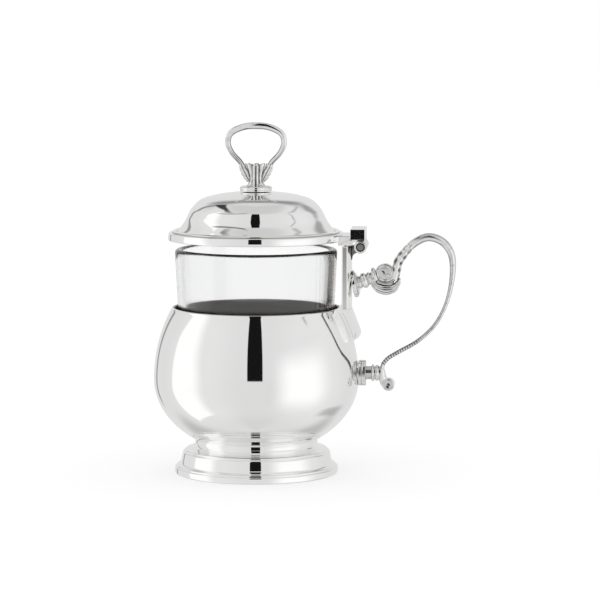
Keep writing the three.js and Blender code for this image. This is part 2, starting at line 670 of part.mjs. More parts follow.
// The domed boss on the post: its back is cut to the post's curve
function upperRosette() {
  const face = arc(0, 0, ROSETTE_RADIUS - ROSETTE_RIM, ROSETTE_DOME, 0, 90);
  face.at(-1)[0] = 0;
  const outline = [[0, -ROSETTE_BACK], [ROSETTE_RADIUS, -ROSETTE_BACK], [ROSETTE_RADIUS, 0], ...face];
  const boss = turned(outline, SMALL_SIDES);
  boss.rotateY(Math.PI / 2 - ROSETTE_TILT);
  boss.translate(ROSETTE_X, 0, ROSETTE_Z);
  const seatRadius = POST_OUTER_RADIUS + SEAT_GAP;
  const post = turned([
    [0, SADDLE_TOP_Z],
    [seatRadius, SADDLE_TOP_Z],
    [seatRadius, POST_TOP_Z],
    [0, POST_TOP_Z],
  ]);
  return named("upper_rosette", cut(boss, post), silverCasting());
}

// A stem with raised rings, from rows of start, end and radius along its length
function ringedStem(length, radius, rings) {
  const outline = [
    [0, 0],
    [radius, 0],
  ];
  for (const [start, end, ringRadius] of rings) {
    const bevel = (end - start) / 4;
    outline.push([radius, start], [ringRadius, start + bevel], [ringRadius, end - bevel], [radius, end]);
  }
  outline.push([radius, length], [0, length]);
  return turned(outline, SMALL_SIDES);
}

function upperStem() {
  const rings = [
    [0.35, 1.05, UPPER_RING_RADIUS],
    [1.7, 2.3, UPPER_RING_RADIUS - RING_STEP],
    [2.7, 3.35, UPPER_RING_RADIUS],
  ];
  const stem = named("upper_stem", ringedStem(UPPER_STEM_LENGTH, UPPER_STEM_RADIUS, rings), silverCasting());
  return alongHandle(stem, UPPER_STEM_X, UPPER_STEM_Z, UPPER_STEM_TILT);
}

// A button with rounded rims, its axis along y
function button(radius, depth, x, z) {
  const half = depth / 2;
  const round = radius * BUTTON_ROUND_SHARE;
  const outline = [
    [0, -half],
    [radius - round, -half],
    [radius, -half + round],
    [radius, half - round],
    [radius - round, half],
    [0, half],
  ];
  return acrossHandle(turned(outline, SMALL_SIDES), x, z);
}

// A route for a bar of the handle: rows of x and z as shares of one reach, from a place
function routeFrom(x, z, reach, rows) {
  return rows.map(([right, up]) => [x + right * reach, z + up * reach]);
}

// The scroll: a fat crescent that curls from the arm round the eye, with a web behind
function handleScroll() {
  const shares = [
    [0.84, 0.48],
    [0.77, -0.25],
    [0.45, -0.98],
    [-0.14, -1.2],
    [-0.55, -0.82],
    [-0.66, -0.27],
    [-0.52, 0.25],
    [-0.3, 0.52],
  ];
  const thicknessShares = [0.52, 0.61, 0.8, 0.93, 0.68, 0.48, 0.41, 0.23];
  const route = curveThrough(routeFrom(SCROLL_EYE_X, SCROLL_EYE_Z, SCROLL_HALF_WIDTH, shares));
  const thicknessAt = (share) => SCROLL_HALF_WIDTH * blendOf(thicknessShares, share);
  const band = sweptBar(route, SCROLL_STEPS, (share) => [thicknessAt(share), SCROLL_DEPTH]);
  const eye = button(SCROLL_EYE_RADIUS, SCROLL_EYE_DEPTH, SCROLL_EYE_X, SCROLL_EYE_Z);
  const web = button(SCROLL_WEB_RADIUS, SCROLL_WEB_DEPTH, SCROLL_EYE_X, SCROLL_EYE_Z - SCROLL_WEB_DROP);
  return named("handle_scroll", joined(band, eye, web), silverCasting());
}

// The arm rises from the scroll, arches over, and comes down to the lower stem. Its upper rows are from
// the scroll's eye and its lower rows from the lower stem's end.
function handleArm() {
  const upper = [
    [0.18, 0.127],
    [0.21, 0.196],
    [0.313, 0.332],
    [0.449, 0.458],
    [0.636, 0.533],
    [0.836, 0.472],
    [0.967, 0.304],
    [1, 0.065],
  ];
  const lower = [
    [0.967, 1.103],
    [0.79, 0.738],
    [0.542, 0.491],
    [0.215, 0.299],
    [0.084, 0.215],
    [0.014, 0.131],
    [0, 0.065],
  ];
  const route = curveThrough([
    ...routeFrom(SCROLL_EYE_X, SCROLL_EYE_Z, ARM_REACH, upper),
    ...routeFrom(ARM_END_X, LOWER_Z, ARM_REACH, lower),
  ]);
  const sizeAt = (share) => {
    const taper = THREE.MathUtils.smoothstep(share, 0.2, 0.6);
    return [
      THREE.MathUtils.lerp(ARM_ARCH_THICKNESS, ARM_TIP_THICKNESS, taper),
      THREE.MathUtils.lerp(ARM_ARCH_DEPTH, ARM_TIP_DEPTH, taper),
    ];
  };
  return named("handle_arm", sweptBar(route, ARM_STEPS, sizeAt), silverCasting());
}

// A disc of the lower fixing, standing against what lies at its start
function lowerDisc(name, thickness, startX) {
  const round = thickness / 3;
  const outline = [
    [0, 0],
    [DISC_RADIUS - round, 0],
    [DISC_RADIUS, round],
    [DISC_RADIUS, thickness - round],
    [DISC_RADIUS - round, thickness],
    [0, thickness],
  ];
  const disc = named(name, turned(outline, SMALL_SIDES), silverCasting());
  return alongHandle(disc, startX, LOWER_Z, 0);
}

function lowerStem() {
  const rings = [
    [1.7, 2.5, LOWER_RING_RADIUS],
    [2.8, 3.3, LOWER_RING_RADIUS - 2 * RING_STEP],
    [3.6, 4.3, LOWER_RING_RADIUS - RING_STEP],
  ];
  const stem = named("lower_stem", ringedStem(LOWER_STEM_LENGTH, LOWER_STEM_RADIUS, rings), silverCasting());
  return alongHandle(stem, LOWER_STEM_X, LOWER_Z, 0);
}

// The tail: a short bar that curls under the lower stem and ends in a dimpled boss
function tailScroll() {
  const bossX = ARM_END_X + TAIL_REACH;
  const bossZ = LOWER_Z - TAIL_DROP;
  const route = curveThrough([
    [ARM_END_X, LOWER_Z + 1],
    [ARM_END_X + 0.1, LOWER_Z - 1.2],
    [ARM_END_X + 0.8, LOWER_Z - 3.2],
    [bossX, bossZ - TAIL_BOSS_RADIUS / 2],
  ]);
  const thicknesses = [ARM_TIP_THICKNESS, 1.8, 2, 1.6];
  const bar = sweptBar(route, TAIL_STEPS, (share) => [blendOf(thicknesses, share), ARM_TIP_DEPTH]);
  const half = TAIL_BOSS_DEPTH / 2;
  const outline = [
    [0, -half + TAIL_DIMPLE_DEPTH],
    [TAIL_DIMPLE_RADIUS, -half],
    [TAIL_BOSS_RADIUS - TAIL_BOSS_ROUND, -half],
    [TAIL_BOSS_RADIUS, -half + TAIL_BOSS_ROUND],
    [TAIL_BOSS_RADIUS, half - TAIL_BOSS_ROUND],
    [TAIL_BOSS_RADIUS - TAIL_BOSS_ROUND, half],
    [TAIL_DIMPLE_RADIUS, half],
    [0, half - TAIL_DIMPLE_DEPTH],
  ];
  const boss = acrossHandle(turned(outline, SMALL_SIDES), bossX, bossZ);
  return named("tail_scroll", joined(bar, boss), silverCasting());
}

function handle() {
  const group = new THREE.Group();
  group.add(upperRosette(), upperStem(), handleScroll(), handleArm());
  group.add(lowerDisc("lower_washer", WASHER_THICKNESS, LOWER_START_X));
  group.add(lowerDisc("lower_flange", LOWER_FLANGE_THICKNESS, LOWER_START_X + WASHER_THICKNESS));
  group.add(lowerStem(), tailScroll());
  return group;
}

// The finial's disc on the crown, with the stud that runs down through the dome into the nut
function finialBase() {
  const round = FINIAL_DISC_HEIGHT / 2;
  const outline = [
    [0, NUT_BOTTOM_Z - STUD_SPARE],
    [STUD_RADIUS, NUT_BOTTOM_Z - STUD_SPARE],
    [STUD_RADIUS, FINIAL_BASE_Z],
    [FINIAL_STEP_RADIUS, FINIAL_BASE_Z],
    ...arc(FINIAL_DISC_RADIUS - round, FINIAL_BASE_Z + round, round, round, -60, 60, EDGE_STEPS),
    [FINIAL_STEP_RADIUS, CALYX_BASE_Z],
    [0, CALYX_BASE_Z],
  ];
  return named("finial_base", turned(outline, SMALL_SIDES), silverCasting());
}

function finialNut() {
  const corners = Array.from({ length: 6 }, (_, i) => {
    const angle = (Math.PI / 3) * i;
    return new THREE.Vector2(Math.cos(angle), Math.sin(angle)).multiplyScalar(NUT_ACROSS / Math.sqrt(3));
  });
  const shape = new THREE.Shape(corners);
  shape.holes.push(new THREE.Path().absarc(0, 0, STUD_RADIUS + STUD_CLEARANCE, 0, 2 * Math.PI, true));
  const settings = { depth: NUT_HEIGHT, bevelEnabled: false, curveSegments: BORE_SEGMENTS };
  const nut = named("finial_nut", new THREE.ExtrudeGeometry(shape, settings), hingeSteel());
  nut.position.z = NUT_BOTTOM_Z;
  return nut;
}

// The calyx: a neck, a ring of leaf tips and a flaring cup, narrower along y than along x. Rows are a
// radius and a share of the height.
function finialCalyx() {
  const profile = [
    [CALYX_FOOT_RADIUS, 0],
    [CALYX_NECK_RADIUS, 0.1],
    [CALYX_LEAF_RADIUS, 0.32],
    [CALYX_WAIST_RADIUS, 0.44],
    [CALYX_CUP_RADIUS, 0.66],
    [CALYX_TOP_RADIUS, 0.94],
    [CALYX_TOP_RADIUS - CALYX_RIM, 1],
  ];
  const outline = profile.map(([radius, share]) => [radius, CALYX_BASE_Z + share * CALYX_HEIGHT]);
  const geometry = turned([[0, CALYX_BASE_Z], ...outline, [0, CALYX_TOP_Z]], SMALL_SIDES);
  geometry.scale(1, CALYX_DEPTH_SHARE, 1);
  return named("finial_calyx", geometry, silverCasting());
}

// The oval finger loop, from one corner of the calyx over to the other
function finialLoop() {
  const cornerX = LOOP_HALF_WIDTH - LOOP_CORNER_INSET;
  const halfRoute = [
    [LOOP_FOOT_X, LOOP_BASE_Z + LOOP_FOOT_RISE],
    [LOOP_SIDE_X, LOOP_BASE_Z + LOOP_WIDEST_RISE / 2],
    [LOOP_HALF_WIDTH, LOOP_BASE_Z + LOOP_WIDEST_RISE],
    [cornerX, LOOP_TOP_Z - LOOP_CORNER_DROP],
    [cornerX / 2, LOOP_TOP_Z - LOOP_CROWN_DROP],
  ];
  const mirrored = halfRoute.map(([x, z]) => [-x, z]).reverse();
  const route = curveThrough([...halfRoute, [0, LOOP_TOP_Z], ...mirrored]);
  const sizeAt = (share) => {
    const fromFoot = 1 - Math.abs(2 * share - 1);
    const thickness = THREE.MathUtils.lerp(LOOP_FOOT_THICKNESS, LOOP_TOP_THICKNESS, fromFoot);
    return [thickness, thickness];
  };
  return named("finial_loop", sweptBar(route, LOOP_STEPS, sizeAt), silverCasting());
}

function lid() {
  const group = new THREE.Group();
  group.add(lidFlange(), lidDome(), lidBead(), lidLeaf(), thumbBlock());
  group.add(lidKnuckle("lid_knuckle_front", -1), lidKnuckle("lid_knuckle_back", 1));
  group.add(finialBase(), finialNut(), finialCalyx(), finialLoop());
  return group;
}

// The part's origin is the middle of its outline on the table, so the pot's axis lies towards -X
const pot = new THREE.Group();
pot.add(potBody(), glassLiner(), lid(), hingeOnPost(), handle());
pot.updateMatrixWorld(true);
pot.position.x = -new THREE.Box3().setFromObject(pot).getCenter(new THREE.Vector3()).x;

const mustardPot = new THREE.Group();
mustardPot.name = "mustard_pot";
mustardPot.add(pot);

export default mustardPot;
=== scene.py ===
"""A silver-plated mustard pot with a glass liner, dressed for close views.

Sizes are in millimetres. Heights are above the table and radii are from the pot's own axis, where every form
starts. The handle and the hinge lie towards +X, in the plane y = 0.
"""
import logging
import math
from bisect import bisect_right
from dataclasses import dataclass
from enum import Enum
from typing import Callable, ClassVar, Iterable, Sequence

import bmesh
import bpy
from mathutils import Matrix, Vector


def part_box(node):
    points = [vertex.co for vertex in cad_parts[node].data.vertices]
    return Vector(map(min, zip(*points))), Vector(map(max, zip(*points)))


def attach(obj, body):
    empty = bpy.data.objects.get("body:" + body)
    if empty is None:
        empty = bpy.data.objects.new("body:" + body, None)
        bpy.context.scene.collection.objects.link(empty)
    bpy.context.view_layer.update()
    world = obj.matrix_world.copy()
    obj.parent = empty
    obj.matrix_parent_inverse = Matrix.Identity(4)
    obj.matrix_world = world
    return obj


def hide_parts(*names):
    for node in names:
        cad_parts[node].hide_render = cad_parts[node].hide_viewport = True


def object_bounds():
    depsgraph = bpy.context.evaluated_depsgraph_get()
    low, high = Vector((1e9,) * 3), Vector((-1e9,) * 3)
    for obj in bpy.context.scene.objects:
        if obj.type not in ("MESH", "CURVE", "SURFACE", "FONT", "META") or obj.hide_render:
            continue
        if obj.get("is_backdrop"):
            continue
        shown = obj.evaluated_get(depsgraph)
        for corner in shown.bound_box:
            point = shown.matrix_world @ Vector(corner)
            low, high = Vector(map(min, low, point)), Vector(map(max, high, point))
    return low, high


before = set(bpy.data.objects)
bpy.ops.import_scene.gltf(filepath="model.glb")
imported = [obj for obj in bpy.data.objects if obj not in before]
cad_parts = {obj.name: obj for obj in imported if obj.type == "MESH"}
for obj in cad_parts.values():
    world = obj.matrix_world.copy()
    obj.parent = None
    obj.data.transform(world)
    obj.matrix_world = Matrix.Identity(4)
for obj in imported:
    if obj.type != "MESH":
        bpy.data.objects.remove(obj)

LOG = logging.getLogger("mustard_pot")
METRES = 0.001
WELD = 1e-4
ORIGIN = (0, 0, 0)
UPRIGHT = Matrix.Identity(4)
ROUTE_STEPS = 40
SECTOR_STEPS = 40
END_STEPS = 6
END_SCALE = 0.02
CORNER_ANGLE = 25.0
BEVEL_ANGLE = 40.0
SMOOTH_ANGLE = 38.0
SQUARE_ANGLE = 12.0

Point = tuple[float, float]
Triple = tuple[float, float, float]
Colour = tuple[float, float, float]
Surface = tuple[float, float, float]
Shade = Callable[[Vector], float]


class Body(Enum):
    """The bodies of the frame that pieces ride on."""

    POT = "pot"
    LINER = "liner"
    LID = "lid"


class Slot(Enum):
    """The record's material slots."""

    SHEET = "silver_sheet"
    CASTING = "silver_casting"
    STEEL = "hinge_steel"
    GLASS = "liner_glass"


def mix(first: float, second: float, share: float) -> float:
    """Returns the value at a share of the way from first to second."""
    return first + (second - first) * share


def eased(value: float, low: float, high: float) -> float:
    """Returns 0 below low, 1 above high and a smooth rise between them."""
    share = min(max((value - low) / (high - low), 0.0), 1.0)
    return share * share * (3 - 2 * share)


def bump(value: float, centre: float, width: float) -> float:
    """Returns a smooth bump of height 1 and the given width at a centre."""
    return math.exp(-(((value - centre) / width) ** 2))


def stepped(values: Sequence[float], share: float) -> float:
    """Returns a value that changes smoothly through evenly spaced values, at a share of the way."""
    at = min(share, 1 - 1e-9) * (len(values) - 1)
    return mix(values[int(at)], values[int(at) + 1], eased(at - int(at), 0, 1))


def sized(thickness: Sequence[float], depth: Sequence[float]) -> Callable[[float], Point]:
    """Returns what gives a bar's thickness and depth along evenly spaced values of each."""
    return lambda share: (stepped(thickness, share), stepped(depth, share))


def squared(angle: float, power: float) -> Point:
    """Returns a bar's reach across and along its depth at an angle, the squarer the lower the power."""
    side = math.sin(angle)
    return math.cos(angle), math.copysign(abs(side) ** power, side)


def from_axis(face: bmesh.types.BMFace) -> float:
    """Returns how far the middle of a face lies from the axis."""
    return face.calc_center_median().to_2d().length


def around(x: float, z: float, stops: Iterable[Point], scale: float = 1.0) -> list[Point]:
    """Returns places that are given from a centre."""
    return [(x + right * scale, z + up * scale) for right, up in stops]


def on_x(x: float, z: float, tilt: float = 0.0) -> Matrix:
    """Returns the place of a turned piece whose axis rises from +X by a tilt in degrees."""
    return Matrix.Translation((x, 0, z)) @ Matrix.Rotation(math.radians(90 - tilt), 4, "Y")


def on_y(x: float, z: float, y: float = 0.0) -> Matrix:
    """Returns the place of a turned piece whose axis lies along y."""
    return Matrix.Translation((x, y, z)) @ Matrix.Rotation(math.pi / 2, 4, "X")


class Outline:
    """A line of (radius, height) points, drawn step by step, for a piece that is turned on a lathe."""

    def __init__(self, *points: Point) -> None:
        """Starts the line at the given points."""
        self.points: list[Point] = list(points)

    @property
    def meets_axis(self) -> bool:
        """Whether both ends lie on the axis, so that turning closes the form."""
        return abs(self.points[0][0]) < WELD and abs(self.points[-1][0]) < WELD

    def to(self, *points: Point) -> "Outline":
        """Goes on to the given points and returns the line."""
        self.points.extend(points)
        return self

    def arc(
        self, centre: Point, reach: Point | float, start: float, end: float, steps: int = 8
    ) -> "Outline":
        """Goes on along an arc of a circle or an ellipse.

        Args:
            centre: The arc's centre.
            reach: Its radius, or its half width and half height.
            start: The first angle in degrees, 0 being outwards and 90 up.
            end: The last angle.
            steps: How many steps the arc has.

        Returns:
            The line.
        """
        wide, high = reach if isinstance(reach, tuple) else (reach, reach)
        for step in range(steps + 1):
            angle = math.radians(mix(start, end, step / steps))
            self.points.append((centre[0] + wide * math.cos(angle), centre[1] + high * math.sin(angle)))
        return self

    def rounded(self, radius: float, steps: int = 4) -> "Outline":
        """Returns the line with its sharp inner corners rounded.

        Args:
            radius: How far from a corner the rounding starts, at most.
            steps: How many steps each rounding has.

        Returns:
            A new line.
        """
        flat = [Vector(point) for point in self.points]
        result = Outline(self.points[0])
        for before, corner, after in zip(flat, flat[1:], flat[2:]):
            back, ahead = before - corner, after - corner
            short = min(back.length, ahead.length) < WELD
            if short or math.degrees(math.pi - back.angle(ahead)) < CORNER_ANGLE:
                result.to(tuple(corner))
                continue
            start = corner + back.normalized() * min(radius, 0.45 * back.length)
            end = corner + ahead.normalized() * min(radius, 0.45 * ahead.length)
            for step in range(steps + 1):
                share = step / steps
                result.to(tuple(start.lerp(corner, share).lerp(corner.lerp(end, share), share)))
        return result.to(self.points[-1])


class Route:
    """A smooth line through points of the plane y = 0, walked by shares of its length."""

    def __init__(self, points: Iterable[Point]) -> None:
        """Lays the line through (x, z) places, close to them where they are unevenly spaced."""
        stops = [Vector((x, 0.0, z)) for x, z in points]
        chain = [2 * stops[0] - stops[1], *stops, 2 * stops[-1] - stops[-2]]
        self.line: list[Vector] = []
        for four in zip(chain, chain[1:], chain[2:], chain[3:]):
            self.line += [self._between(four, step / ROUTE_STEPS) for step in range(ROUTE_STEPS)]
        self.line.append(stops[-1])
        self.lengths = [0.0]
        for start, end in zip(self.line, self.line[1:]):
            self.lengths.append(self.lengths[-1] + (end - start).length)

    @staticmethod
    def _between(four: Sequence[Vector], share: float) -> Vector:
        """Returns the place at a share of the way from the second of four points to the third."""
        first, second, third, fourth = four
        before, here, after = (max((b - a).length, 1e-6) ** 0.5 for a, b in zip(four, four[1:]))
        leave = (second - first) / before - (third - first) / (before + here) + (third - second) / here
        reach = (third - second) / here - (fourth - second) / (here + after) + (fourth - third) / after
        square, cube = share**2, share**3
        start = (2 * cube - 3 * square + 1) * second + (cube - 2 * square + share) * (leave * here)
        return start + (-2 * cube + 3 * square) * third + (cube - square) * (reach * here)

    @property
    def length(self) -> float:
        """The line's whole length."""
        return self.lengths[-1]

    def at(self, share: float) -> Vector:
        """Returns the place at a share of the length."""
        length = min(max(share, 0.0), 1.0) * self.length
        index = min(bisect_right(self.lengths, length), len(self.lengths) - 1)
        start, end = self.lengths[index - 1], self.lengths[index]
        return self.line[index - 1].lerp(self.line[index], (length - start) / max(end - start, 1e-9))

    def forward(self, share: float, reach: float = 0.006) -> Vector:
        """Returns the direction of the line at a share of its length."""
        return (self.at(share + reach) - self.at(share - reach)).normalized()


@dataclass(frozen=True)
class BarShape:
    """How a bar is swept along a route.

    Attributes:
        size_at: Gives the thickness in the route's plane and the depth across it, at a share of the length.
        section: Gives, for an angle round the bar and a share of the length, the reach of the surface along
        the thickness and along the depth, and how far patina and painted shade darken it.
        steps: How many steps the bar has along its length.
        sides: How many sides its section has.
        round_start: The length of the rounding at its start.
        round_end: The length of the rounding at its end.
    """

    size_at: Callable[[float], Point]
    section: Callable[[float, float], Surface]
    steps: int
    sides: int
    round_start: float = 0.0
    round_end: float = 0.0

    def shares(self, length: float) -> list[Point]:
        """Returns the shares of a route's length to stop at, each with how much of the section is left."""
        quarter = [math.radians(90 * step / END_STEPS) for step in range(END_STEPS)]
        rounding = [(1 - math.cos(turn), max(math.sin(turn), END_SCALE)) for turn in quarter]
        start, end = self.round_start / length, self.round_end / length
        first = [(start * share, scale) for share, scale in rounding if start]
        middle = [(mix(start, 1 - end, step / self.steps), 1.0) for step in range(self.steps + 1)]
        return first + middle + [(1 - end * share, scale) for share, scale in reversed(rounding) if end]


def round_section(angle: float, share: float) -> Surface:
    """Returns the reach of a plain round bar's surface at an angle, with no painted shade."""
    return math.cos(angle), math.sin(angle), 0.0


class Form:
    """A mesh in the making, shaped by bmesh operators."""

    def __init__(self) -> None:
        """Starts an empty mesh with a layer for how far patina and painted shade darken each vertex."""
        self.mesh = bmesh.new()
        # The recess layer carries patina, painted shade and painted reflections, which darken the silver.
        self.recess = self.mesh.verts.layers.float.new("recess")

    def _settle(self, before: set, place: Matrix, shade: Shade | float | None) -> list[bmesh.types.BMVert]:
        """Closes what was just made, shades it, puts it in place and turns its faces outwards.

        Args:
            before: The vertices that were there already.
            place: Where the new ones go.
            shade: How far patina and painted shade darken them, or what gives it for a vertex that isn't
                placed yet.

        Returns:
            The new vertices.
        """
        fresh = [vert for vert in self.mesh.verts if vert not in before]
        bmesh.ops.remove_doubles(self.mesh, verts=fresh, dist=WELD)
        fresh = [vert for vert in fresh if vert.is_valid]
        if shade is not None:
            for vert in fresh:
                vert[self.recess] = shade(vert.co) if callable(shade) else shade
        bmesh.ops.transform(self.mesh, matrix=place, verts=fresh)
        faces = list({face for vert in fresh for face in vert.link_faces})
        bmesh.ops.recalc_face_normals(self.mesh, faces=faces)
        return fresh

    def _spin(self, outline: Outline, start: float, angle: float, steps: int) -> None:
        """Spins an outline, closed unless it ends on the axis.

        Args:
            outline: The outline.
            start: The angle where it starts.
            angle: The angle that it turns through.
            steps: How many steps the turn has.
        """
        line = [self.mesh.verts.new((radius, 0.0, height)) for radius, height in outline.points]
        edges = [self.mesh.edges.new(pair) for pair in zip(line, line[1:])]
        if not outline.meets_axis:
            edges.append(self.mesh.edges.new((line[-1], line[0])))
        bmesh.ops.rotate(self.mesh, cent=ORIGIN, matrix=Matrix.Rotation(start, 3, "Z"), verts=line)
        bmesh.ops.spin(
            self.mesh, geom=line + edges, cent=ORIGIN, axis=(0, 0, 1), dvec=ORIGIN, angle=angle, steps=steps,
            use_merge=angle == math.tau,
        )

    def turned(
        self, outline: Outline, steps: int = 144, place: Matrix = UPRIGHT, shade: Shade | float | None = None
    ) -> list[bmesh.types.BMVert]:
        """Spins an outline all the way round.

        Args:
            outline: The outline, closed or ending on the axis.
            steps: How many steps the turn has.
            place: Where the form goes.
            shade: How far patina and painted shade darken it.

        Returns:
            The new vertices.
        """
        before = set(self.mesh.verts)
        self._spin(outline, 0.0, math.tau, steps)
        return self._settle(before, place, shade)

    def sector(self, outline: Outline, width: float, shade: float | None = None) -> list[bmesh.types.BMVert]:
        """Spins a closed outline a little way round the axis and trims it to a width centred on +X.

        Args:
            outline: The outline, away from the axis.
            width: The width along y that is left.
            shade: How far patina and painted shade darken it.

        Returns:
            The new vertices.
        """
        before = set(self.mesh.verts)
        half = 1.3 * math.asin(width / 2 / min(radius for radius, _ in outline.points))
        self._spin(outline, -half, 2 * half, SECTOR_STEPS)
        for side in (-1, 1):
            fresh = [vert for vert in self.mesh.verts if vert not in before]
            faces = list({face for vert in fresh for face in vert.link_faces})
            edges = list({edge for vert in fresh for edge in vert.link_edges})
            cut = bmesh.ops.bisect_plane(
                self.mesh, geom=fresh + edges + faces, dist=WELD, plane_co=(0, side * width / 2, 0),
                plane_no=(0, side, 0), clear_outer=True,
            )
            rim = [part for part in cut["geom_cut"] if isinstance(part, bmesh.types.BMEdge)]
            bmesh.ops.edgeloop_fill(self.mesh, edges=rim)
        return self._settle(before, UPRIGHT, shade)

    def prism(
        self, corners: Sequence[Point], depth: float, middle: float = 0.0, shade: float | None = None
    ) -> list[bmesh.types.BMVert]:
        """Extrudes a flat shape along y.

        Args:
            corners: The shape's (x, z) corners in order.
            depth: Its depth along y.
            middle: The middle of its depth.
            shade: How far patina and painted shade darken it.

        Returns:
            The new vertices.
        """
        before = set(self.mesh.verts)
        face = self.mesh.faces.new([self.mesh.verts.new((x, -depth / 2, z)) for x, z in corners])
        grown = bmesh.ops.extrude_face_region(self.mesh, geom=[face], use_keep_orig=True)["geom"]
        moved = [part for part in grown if isinstance(part, bmesh.types.BMVert)]
        bmesh.ops.translate(self.mesh, vec=(0, depth, 0), verts=moved)
        return self._settle(before, Matrix.Translation((0, middle, 0)), shade)

    def swept(
        self, route: Route, shape: BarShape, place: Matrix = UPRIGHT, shade: float | None = None
    ) -> None:
        """Extrudes a ring step by step along a route, turning and sizing it on its way.

        Args:
            route: The line that the bar's middle follows.
            shape: The bar's sizes and section.
            place: Where the form goes.
            shade: How far patina and painted shade darken it, if its section doesn't say.
        """
        before = set(self.mesh.verts)
        ring = bmesh.ops.create_circle(self.mesh, segments=shape.sides, radius=1.0)["verts"]
        edges = [edge for edge in self.mesh.edges if not before.intersection(edge.verts)]
        bmesh.ops.contextual_create(self.mesh, geom=edges)
        for index, (share, scale) in enumerate(shape.shares(route.length)):
            if index:
                grown = bmesh.ops.extrude_edge_only(self.mesh, edges=edges)["geom"]
                fresh = {part for part in grown if isinstance(part, bmesh.types.BMVert)}
                edges = [part for part in grown if isinstance(part, bmesh.types.BMEdge)]
                edges = [edge for edge in edges if fresh.issuperset(edge.verts)]
                beside = ([edge.other_vert(vert) for edge in vert.link_edges] for vert in ring)
                ring = [next(vert for vert in verts if vert in fresh) for verts in beside]
            centre, forward, (thickness, depth) = route.at(share), route.forward(share), shape.size_at(share)
            across = Vector((forward.z, 0.0, -forward.x))
            for number, vert in enumerate(ring):
                reach, side, vert[self.recess] = shape.section(math.tau * number / shape.sides, share)
                aside = Vector((0, side * scale * depth / 2, 0))
                vert.co = centre + across * (reach * scale * thickness / 2) + aside
        bmesh.ops.contextual_create(self.mesh, geom=edges)
        self._settle(before, place, shade)

    def bevelled(self, verts: Iterable[bmesh.types.BMVert], width: float) -> None:
        """Rounds the sharp edges among some vertices, over a width."""
        inside = set(verts)
        edges = [edge for edge in self.mesh.edges if inside.issuperset(edge.verts)]
        edges = [edge for edge in edges if len(edge.link_faces) == 2]
        sharp = [edge for edge in edges if math.degrees(edge.calc_face_angle(0.0)) > BEVEL_ANGLE]
        bmesh.ops.bevel(
            self.mesh, geom=sharp, offset=width, offset_type="OFFSET", segments=3, profile=0.5,
            affect="EDGES", material=-1, clamp_overlap=True,
        )

    def sink_ends(self, margin: float, depth: float, shades: Point) -> None:
        """Sinks a panel into the flat face at each end along y.

        Args:
            margin: The width of the rim that stays.
            depth: How deep the panel lies.
            shades: How much painted shade it takes at its foot and at its top.
        """
        end = max(vert.co.y for vert in self.mesh.verts) - 0.01
        flat = [face for face in self.mesh.faces if abs(face.normal.y) > 0.99]
        ends = [face for face in flat if abs(face.calc_center_median().y) > end]
        bmesh.ops.inset_region(self.mesh, faces=ends, thickness=margin, use_even_offset=True)
        bmesh.ops.inset_region(self.mesh, faces=ends, thickness=0.08, depth=-depth, use_even_offset=True)
        panel = {vert for face in ends for vert in face.verts}
        low, high = min(vert.co.z for vert in panel), max(vert.co.z for vert in panel)
        # Painted shade in the panel, growing from its foot to its top.
        for vert in panel:
            vert[self.recess] = mix(*shades, (vert.co.z - low) / (high - low))

    def line_faces(self, chosen: Callable[[bmesh.types.BMFace], bool]) -> None:
        """Gives the chosen faces the piece's second finish."""
        for face in filter(chosen, self.mesh.faces):
            face.material_index = 1


def lathed(outline: Outline, steps: int = 144, place: Matrix = UPRIGHT, shade: Shade | None = None) -> Form:
    """Returns a form turned from one outline, with what Form.turned takes."""
    form = Form()
    form.turned(outline, steps, place, shade)
    return form


class Wire:
    """A value in a shader, so that a sum of values is written as a sum."""

    def __init__(self, sheet: "NodeSheet", socket: bpy.types.NodeSocket) -> None:
        """Wraps a socket of a sheet."""
        self.sheet = sheet
        self.socket = socket

    def __add__(self, other: "Wire | float") -> "Wire":
        """Returns this value plus another."""
        return self.sheet.maths("ADD", self, other)

    def __radd__(self, other: float) -> "Wire":
        """Returns a number plus this value."""
        return self.sheet.maths("ADD", other, self)

    def __sub__(self, other: "Wire | float") -> "Wire":
        """Returns this value less another."""
        return self.sheet.maths("SUBTRACT", self, other)

    def __rsub__(self, other: float) -> "Wire":
        """Returns a number less this value."""
        return self.sheet.maths("SUBTRACT", other, self)

    def __mul__(self, other: "Wire | float") -> "Wire":
        """Returns this value times another."""
        return self.sheet.maths("MULTIPLY", self, other)

    def __rmul__(self, other: float) -> "Wire":
        """Returns a number times this value."""
        return self.sheet.maths("MULTIPLY", other, self)

    def larger(self, other: "Wire | float") -> "Wire":
        """Returns the larger of this value and another."""
        return self.sheet.maths("MAXIMUM", self, other)

    def size(self) -> "Wire":
        """Returns this value without its sign."""
        return self.sheet.maths("ABSOLUTE", self)

    def rise(self, low: float, high: float) -> "Wire":
        """Returns a smooth rise from 0 at low to 1 at high, or a fall where high is below low."""
        sockets = {"Value": self, "From Min": low, "From Max": high}
        return self.sheet.wire("ShaderNodeMapRange", sockets, interpolation_type="SMOOTHSTEP")

    def within(self, low: float, high: float, soft: float) -> "Wire":
        """Returns 1 where this value lies between low and high and 0 elsewhere, with soft edges."""
        return self.rise(low - soft, low + soft) * self.rise(high + soft, high - soft)

    def towards(self, value: float, share: "Wire") -> "Wire":
        """Returns this value moved towards another by a share."""
        return self + share * (value - self)


